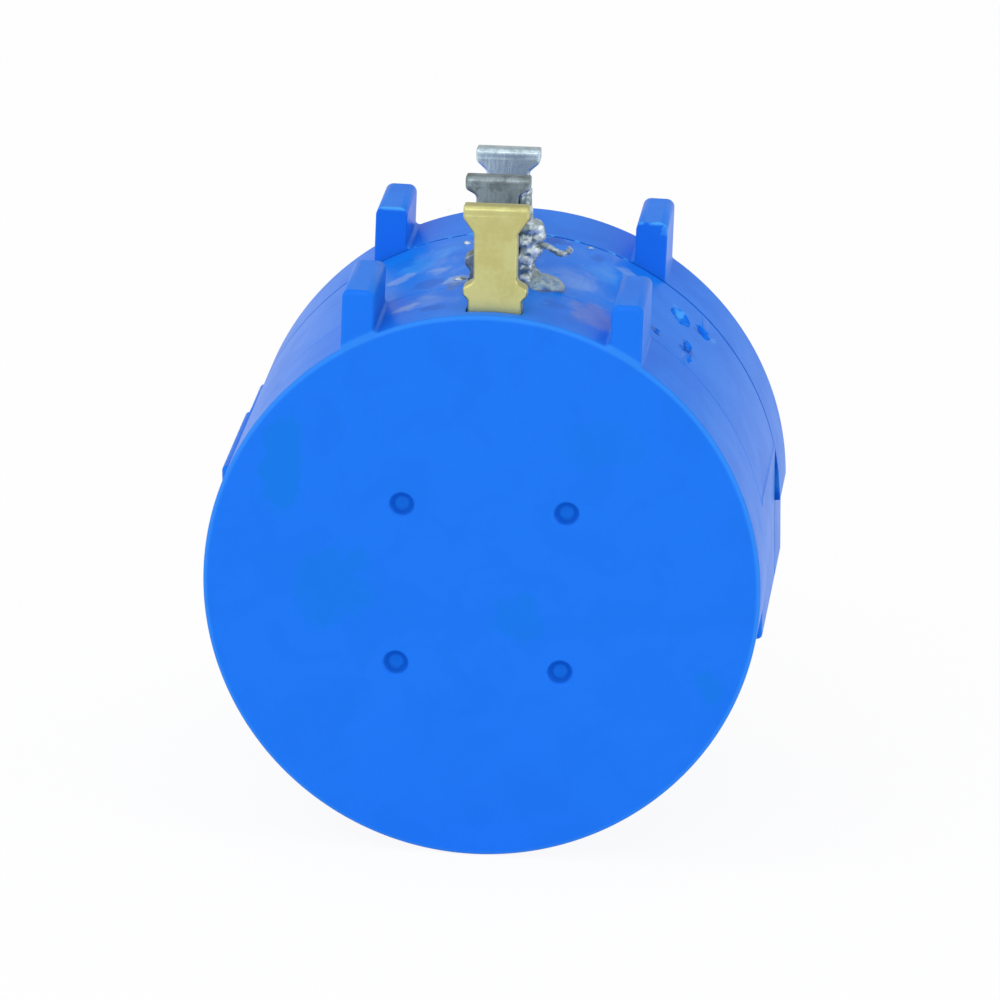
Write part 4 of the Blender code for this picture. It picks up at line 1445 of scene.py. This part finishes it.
@dataclass
class OldJoint:
    """What an earlier joint left: lumps on the middle lug, a wire's end and splashes."""

    grain: float = 0.035 * MM
    blob_splits: int = 4
    softness: float = 0.6
    soft_rounds: int = 4
    ripples: float = 0.055 * MM
    wave: float = 0.3 * MM
    fine_wave: float = 0.12 * MM
    fine_share: float = 0.3
    smoothing: float = 0.3
    wire: float = 0.125 * MM
    wire_round: int = 5
    wire_steps: int = 10
    wire_wave: float = 0.15 * MM
    wire_ripple: float = 0.02 * MM
    wire_smooth_below: float = math.radians(50)
    column: tuple[Blob, ...] = (
        Blob((0.66, -12.80, 14.80), (0.30, 0.40, 0.32)),
        Blob((0.70, -12.80, 14.32), (0.30, 0.41, 0.50)),
        Blob((0.74, -12.82, 13.84), (0.32, 0.42, 0.46)),
        Blob((1.00, -12.84, 13.30), (0.52, 0.44, 0.40)),
        Blob((1.14, -12.82, 12.98), (0.42, 0.42, 0.34)),
        Blob((0.84, -12.84, 12.76), (0.46, 0.44, 0.44)),
        Blob((0.98, -12.84, 12.40), (0.47, 0.43, 0.36)),
        Blob((0.80, -12.84, 12.02), (0.44, 0.43, 0.42)),
        Blob((0.82, -12.84, 11.62), (0.42, 0.45, 0.40)),
        Blob((0.98, -12.86, 11.30), (0.54, 0.48, 0.36)),
        Blob((1.22, -12.90, 11.15), (0.58, 0.55, 0.30)),
    )
    puddle: tuple[Blob, ...] = (
        Blob((1.55, -13.00, 11.06), (0.72, 0.85, 0.36)),
        Blob((1.98, -13.15, 10.98), (0.46, 0.60, 0.26)),
        Blob((1.75, -12.6, 10.97), (0.50, 0.40, 0.16)),
        Blob((1.35, -13.7, 11.02), (0.30, 0.30, 0.12)),
    )
    specks: tuple[Blob, ...] = (
        Blob((-2.05, -6.3, 10.92), (0.14, 0.14, 0.12)),
        Blob((-1.45, -9.75, 11.02), (0.12, 0.12, 0.12)),
        Blob((-1.80, -12.6, 10.97), (0.30, 0.26, 0.09)),
        Blob((2.9, -5.1, 10.73), (0.16, 0.08, 0.06)),
    )
    hook: tuple[Place, ...] = (
        (1.24, -12.82, 12.66),
        (1.62, -12.80, 12.56),
        (1.96, -12.78, 12.40),
        (2.20, -12.74, 12.28),
        (2.44, -12.70, 12.32),
        (2.60, -12.68, 12.52),
    )

    def lump(self, name: str, blobs: Iterable[Blob]) -> bpy.types.Object:
        """Melts balls into one lump with a rippled skin.

        Args:
            name: The piece's name.
            blobs: The balls.

        Returns:
            The lump.
        """
        shape = bmesh.new()
        for blob in blobs:
            blob.add(shape, self.blob_splits)
        piece = link(name, shape)
        melt = piece.modifiers.new("Melt", "REMESH")
        melt.mode = "VOXEL"
        melt.voxel_size = self.grain
        soften = piece.modifiers.new("Soften", "SMOOTH")
        soften.factor = self.softness
        soften.iterations = self.soft_rounds
        settle(piece)
        shape = bmesh.new()
        shape.from_mesh(piece.data)
        for vert in shape.verts:
            wave = noise.noise(vert.co / self.wave)
            wave += self.fine_share * noise.noise(vert.co / self.fine_wave)
            vert.co += vert.normal * wave * self.ripples
        bmesh.ops.smooth_vert(
            shape, verts=shape.verts[:], factor=self.smoothing, use_axis_x=True,
            use_axis_y=True, use_axis_z=True,
        )
        shape.to_mesh(piece.data)
        shape.free()
        shade(piece, math.pi, False)
        return piece

    def wire_end(self) -> bpy.types.Object:
        """Builds the hooked end of wire.

        Returns:
            The wire.
        """
        curve = bpy.data.curves.new("wire_end", "CURVE")
        curve.dimensions = "3D"
        curve.bevel_depth = self.wire
        curve.bevel_resolution = self.wire_round
        curve.resolution_u = self.wire_steps
        curve.use_fill_caps = True
        spline = curve.splines.new("BEZIER")
        spline.bezier_points.add(len(self.hook) - 1)
        for point, place in zip(spline.bezier_points, self.hook):
            point.co = Vector(place) * MM
            point.handle_left_type = point.handle_right_type = "AUTO"
        raw = bpy.data.objects.new("wire_end", curve)
        bpy.context.scene.collection.objects.link(raw)
        shape = bmesh.new()
        shape.from_mesh(worked_out(raw))
        bpy.data.objects.remove(raw, do_unlink=True)
        bmesh.ops.remove_doubles(shape, verts=shape.verts[:], dist=WELD)
        ripple(shape, self.wire_wave, self.wire_ripple)
        bmesh.ops.recalc_face_normals(shape, faces=shape.faces[:])
        piece = link("wire_end", shape)
        shade(piece, self.wire_smooth_below, False)
        return piece

    def build(self) -> list[bpy.types.Object]:
        """Builds and dresses what the joint left.

        Returns:
            The pieces.
        """
        finish = SolderSkin().material()
        residue = SolderSkin(
            "flux_residue", from_screen(160, 180, 186), from_screen(104, 138, 176),
            from_screen(160, 164, 132), 0.3,
        ).material()
        lump = self.lump("solder_column", self.column)
        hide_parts("solder_lump")
        wire = self.wire_end()
        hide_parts("wire_stub")
        pieces = [lump, wire]
        pieces += [self.lump(f"solder_speck_{i}", [blob]) for i, blob in enumerate(self.specks)]
        puddle = self.lump("solder_puddle", self.puddle)
        for piece in (*pieces, puddle):
            dress(piece, residue if piece is puddle else finish)
            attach(piece, "housing")
        return [*pieces, puddle]


@dataclass
class PanelBushing:
    """The threaded bushing with its collar behind the lid."""

    radius: float = 4.7625 * MM
    bore: float = 3.215 * MM
    collar: float = 6.1625 * MM
    collar_front: float = -1.25 * MM
    chamfer: float = 0.4 * MM
    bore_chamfer: float = 0.25 * MM
    thread_pitch: float = 0.794 * MM
    thread_depth: float = 0.43 * MM
    thread_crest: float = 0.12 * MM
    thread_root: float = 0.18 * MM
    thread_start: float = 0.5 * MM
    clear: float = 0.025 * MM
    segments: int = 96

    def groove(self, end: float) -> bmesh.types.BMesh:
        """The cutter of the thread: one section, turned and drawn along the bushing.

        Args:
            end: Where the bushing ends.

        Returns:
            The cutter.
        """
        flank = (self.thread_pitch - self.thread_crest - self.thread_root) / 2
        wide = self.thread_root / 2 + flank * (self.thread_depth + self.clear) / self.thread_depth
        middle = self.thread_start + self.thread_pitch / 2
        turns = math.ceil((end - middle) / self.thread_pitch) + 1
        bottom, outside = self.radius - self.thread_depth, self.radius + self.clear
        half = self.thread_root / 2
        section = (
            (outside, -wide), (outside, wide), (bottom + half / 2, half),
            (bottom, half / 2), (bottom, -half / 2), (bottom + half / 2, -half),
        )
        shape = chain([(radius, middle + y) for radius, y in section], True)
        bmesh.ops.edgeloop_fill(shape, edges=shape.edges[:])
        bmesh.ops.spin(
            shape, geom=shape.faces[:], cent=(0, 0, 0), axis=(0, 1, 0),
            dvec=(0, self.thread_pitch / self.segments, 0), angle=turns * math.tau,
            steps=turns * self.segments, use_merge=False, use_duplicate=False,
        )
        bmesh.ops.recalc_face_normals(shape, faces=shape.faces[:])
        return shape

    def build(self) -> list[bpy.types.Object]:
        """Builds and dresses the bushing.

        Returns:
            The bushing, in a list.
        """
        low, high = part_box("bushing")
        end = high.y
        profile = [
            (self.bore, end - self.bore_chamfer),
            (self.bore + self.bore_chamfer, end),
            (self.radius - self.chamfer, end),
            (self.radius, end - self.chamfer),
            (self.radius, self.collar_front),
            (self.collar, self.collar_front),
            (self.collar, low.y),
            (self.bore + self.bore_chamfer, low.y),
            (self.bore, low.y + self.bore_chamfer),
        ]
        piece = link("bushing_threaded", lathe(profile, self.segments))
        work(piece, [(Joining.CUT, self.groove(end))])
        shade(piece)
        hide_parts("bushing")
        finish = Metal(
            "nickel_plate", from_screen(206, 202, 190), from_screen(172, 165, 148), 0.30,
            Working.TURNED, 0.3, 0.7,
        )
        dress(piece, finish.material())
        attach(piece, "housing")
        return [piece]


@dataclass
class ControlShaft:
    """The shaft with its screwdriver slot."""

    radius: float = 3.175 * MM
    chamfer: float = 0.45 * MM
    slot_half: float = 0.5 * MM
    slot_depth: float = 1.2 * MM
    groove_front: float = -2.375 * MM
    groove_rear: float = -2.875 * MM
    groove_radius: float = 2.725 * MM
    step: float = -3.22 * MM
    core: float = 2.0 * MM
    journal_from: float = -17.0 * MM
    journal: float = 1.5 * MM
    broken_edge: float = 0.05 * MM
    sharp_from: float = math.radians(60)
    segments: int = 128

    def build(self) -> list[bpy.types.Object]:
        """Builds and dresses the shaft.

        Returns:
            The shaft, in a list.
        """
        low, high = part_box("shaft")
        soft = self.chamfer / 5
        profile = [
            (0.0, high.y),
            (self.radius - self.chamfer - soft, high.y),
            (self.radius - self.chamfer, high.y - soft / 3),
            (self.radius - soft / 3, high.y - self.chamfer),
            (self.radius, high.y - self.chamfer - soft),
            (self.radius, self.groove_front),
            (self.groove_radius, self.groove_front),
            (self.groove_radius, self.groove_rear),
            (self.radius, self.groove_rear),
            (self.radius, self.step),
            (self.core, self.step),
            (self.core, self.journal_from),
            (self.journal, self.journal_from),
            (self.journal, low.y),
            (0.0, low.y),
        ]
        piece = link("shaft_turned", lathe(profile, self.segments))
        slot = box(
            (-2 * self.radius, high.y - self.slot_depth, -self.slot_half),
            (2 * self.radius, high.y + self.slot_depth, self.slot_half),
        )
        work(piece, [(Joining.CUT, slot)])
        edges = piece.modifiers.new("Broken_edges", "BEVEL")
        edges.width = self.broken_edge
        edges.segments = 2
        edges.limit_method = "ANGLE"
        edges.angle_limit = self.sharp_from
        settle(piece)
        shade(piece)
        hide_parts("shaft")
        finish = Metal(
            "turned_steel", from_screen(186, 188, 191), from_screen(160, 159, 156), 0.34,
            Working.TURNED, 0.12, 0.6,
        )
        dress(piece, finish.material())
        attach(piece, "rotor")
        return [piece]


@dataclass
class Mechanism:
    """The sealed pieces inside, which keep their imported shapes."""

    brass: tuple[str, ...] = (
        "thrust_washer_front", "thrust_washer_rear", "takeoff_rod", "slip_ring",
        "element_lead_front", "element_lead_rear", "collector_spring", "wiper_contact",
        "takeoff_brush",
    )
    steel: tuple[str, ...] = ("guide_rod", "retaining_ring")
    plastic: tuple[str, ...] = ("rotor_spool", "wiper_carriage")
    wound: tuple[str, ...] = ("resistance_element",)

    def build(self) -> list[bpy.types.Object]:
        """Dresses the pieces.

        Returns:
            The pieces.
        """
        brass = Metal(
            "inner_brass", from_screen(196, 178, 112), from_screen(158, 136, 76), 0.32,
            Working.DRAWN, 0.4, 1.1,
        )
        steel = Metal(
            "inner_steel", from_screen(178, 180, 184), from_screen(140, 138, 134), 0.3,
            Working.DRAWN, 0.3, 0.8,
        )
        pieces = []
        for finish, nodes in (
            (brass, self.brass), (steel, self.steel),
            (PalePlastic(), self.plastic), (WoundWire(), self.wound),
        ):
            material = finish.material()
            for node in nodes:
                dress(frame["nodes"][node], material)
                pieces.append(frame["nodes"][node])
        return pieces


@dataclass(frozen=True)
class Lamp:
    """A soft square lamp: where it hangs, the length of its side and its power in watts."""

    name: str
    place: Place
    size: float
    power: float


@dataclass
class Studio:
    """The pale floor, the soft light and the camera."""

    azimuth: float = math.radians(4.083)
    elevation: float = math.radians(15.044)
    roll: float = math.radians(2.357)
    distance: float = 394.0 * MM
    target: Place = (0.0, -9.525 * MM, 0.0)
    aim_up: float = 1.049 * MM
    aim_right: float = -0.02 * MM
    lens: float = 348.96
    seen_from: float = 10 * MM
    seen_to: float = 20.0
    floor_size: float = 6.0
    floor_gap: float = 0.02 * MM
    floor_white: float = 0.9
    floor_glow: float = 0.93
    sky: float = 0.62
    lamps: tuple[Lamp, ...] = (
        Lamp("behind_camera", (-0.12, -0.5, 0.30), 0.4, 1.1),
        Lamp("overhead", (-0.1, -0.1, 0.55), 0.5, 0.6),
        Lamp("right_side", (0.5, -0.14, 0.08), 0.4, 1.0),
        Lamp("left_side", (-0.5, -0.12, 0.2), 0.4, 0.5),
    )

    def camera(self) -> None:
        """Places the camera where the photograph was taken from."""
        azimuth, elevation = self.azimuth, self.elevation
        back = Vector((
            math.sin(azimuth) * math.cos(elevation),
            -math.cos(azimuth) * math.cos(elevation),
            math.sin(elevation),
        ))
        level = Vector((math.cos(azimuth), math.sin(azimuth), 0.0))
        upright = back.cross(level)
        right = level * math.cos(self.roll) + upright * math.sin(self.roll)
        up = upright * math.cos(self.roll) - level * math.sin(self.roll)
        aim = Vector(self.target) + up * self.aim_up + right * self.aim_right
        lens = bpy.data.cameras.new("view")
        lens.lens = self.lens
        lens.clip_start = self.seen_from
        lens.clip_end = self.seen_to
        made = bpy.data.objects.new("view", lens)
        turn = Matrix((right, up, back)).transposed().to_4x4()
        made.matrix_world = Matrix.Translation(aim + back * self.distance) @ turn
        bpy.context.scene.collection.objects.link(made)
        bpy.context.scene.camera = made

    def floor(self) -> None:
        """Lays the floor just under the housing."""
        shape = bmesh.new()
        bmesh.ops.create_grid(
            shape, x_segments=1, y_segments=1, size=self.floor_size,
            matrix=Matrix.Translation((0.0, 0.0, CAD_BOX[0].z - self.floor_gap)),
        )
        piece = link("floor", shape)
        made, sheet = new_material("pale_floor")
        white = (self.floor_white,) * 3
        plain = sheet.node("ShaderNodeBsdfDiffuse", {}, {"Color": (*white, 1.0)})
        glow = sheet.node("ShaderNodeEmission", {}, {"Color": (1.0, 1.0, 1.0, 1.0)})
        path = sheet.node("ShaderNodeLightPath", {}, {}, "Is Camera Ray")
        glossy = Socket(sheet, path.source.node.outputs["Is Glossy Ray"])
        through = Socket(sheet, path.source.node.outputs["Is Transmission Ray"])
        seen = path.at_least(glossy).at_least(through)
        mixed = sheet.node(
            "ShaderNodeMixShader", {}, {0: seen * self.floor_glow, 1: plain, 2: glow}
        )
        sheet.node("ShaderNodeOutputMaterial", {}, {"Surface": mixed})
        dress(piece, made)

    def sky_light(self) -> None:
        """Gives the scene an even white surround."""
        world = bpy.data.worlds.new("surround")
        world.use_nodes = True
        bpy.context.scene.world = world
        sheet = Sheet(world.node_tree)
        path = sheet.node("ShaderNodeLightPath", {}, {}, "Is Camera Ray")
        strength = path * (1.0 - self.sky) + self.sky
        glow = sheet.node(
            "ShaderNodeBackground", {}, {"Color": (1.0, 1.0, 1.0, 1.0), "Strength": strength}
        )
        sheet.node("ShaderNodeOutputWorld", {}, {"Surface": glow})

    def hang(self, lamp: Lamp) -> None:
        """Hangs a lamp that points at the object.

        Args:
            lamp: The lamp.
        """
        light = bpy.data.lights.new(lamp.name, "AREA")
        light.shape = "SQUARE"
        light.size = lamp.size
        light.energy = lamp.power
        made = bpy.data.objects.new(lamp.name, light)
        direction = Vector(self.target) - Vector(lamp.place)
        turn = direction.to_track_quat("-Z", "Y").to_matrix().to_4x4()
        made.matrix_world = Matrix.Translation(lamp.place) @ turn
        bpy.context.scene.collection.objects.link(made)

    def build(self) -> None:
        """Sets the stage."""
        bpy.context.scene.view_settings.view_transform = "Standard"
        self.camera()
        self.floor()
        self.sky_light()
        for lamp in self.lamps:
            self.hang(lamp)


def main() -> None:
    """Builds the object piece by piece and sets the stage."""
    logging.basicConfig(level=logging.INFO, format="%(message)s")
    for part in (
        MouldedHousing(), SolderLugs(), OldJoint(), PanelBushing(), ControlShaft(), Mechanism(),
    ):
        for piece in part.build():
            log.info("%s: %s, %d faces", type(part).__name__, piece.name, len(piece.data.polygons))
    Studio().build()


if __name__ == "__main__":
    main()
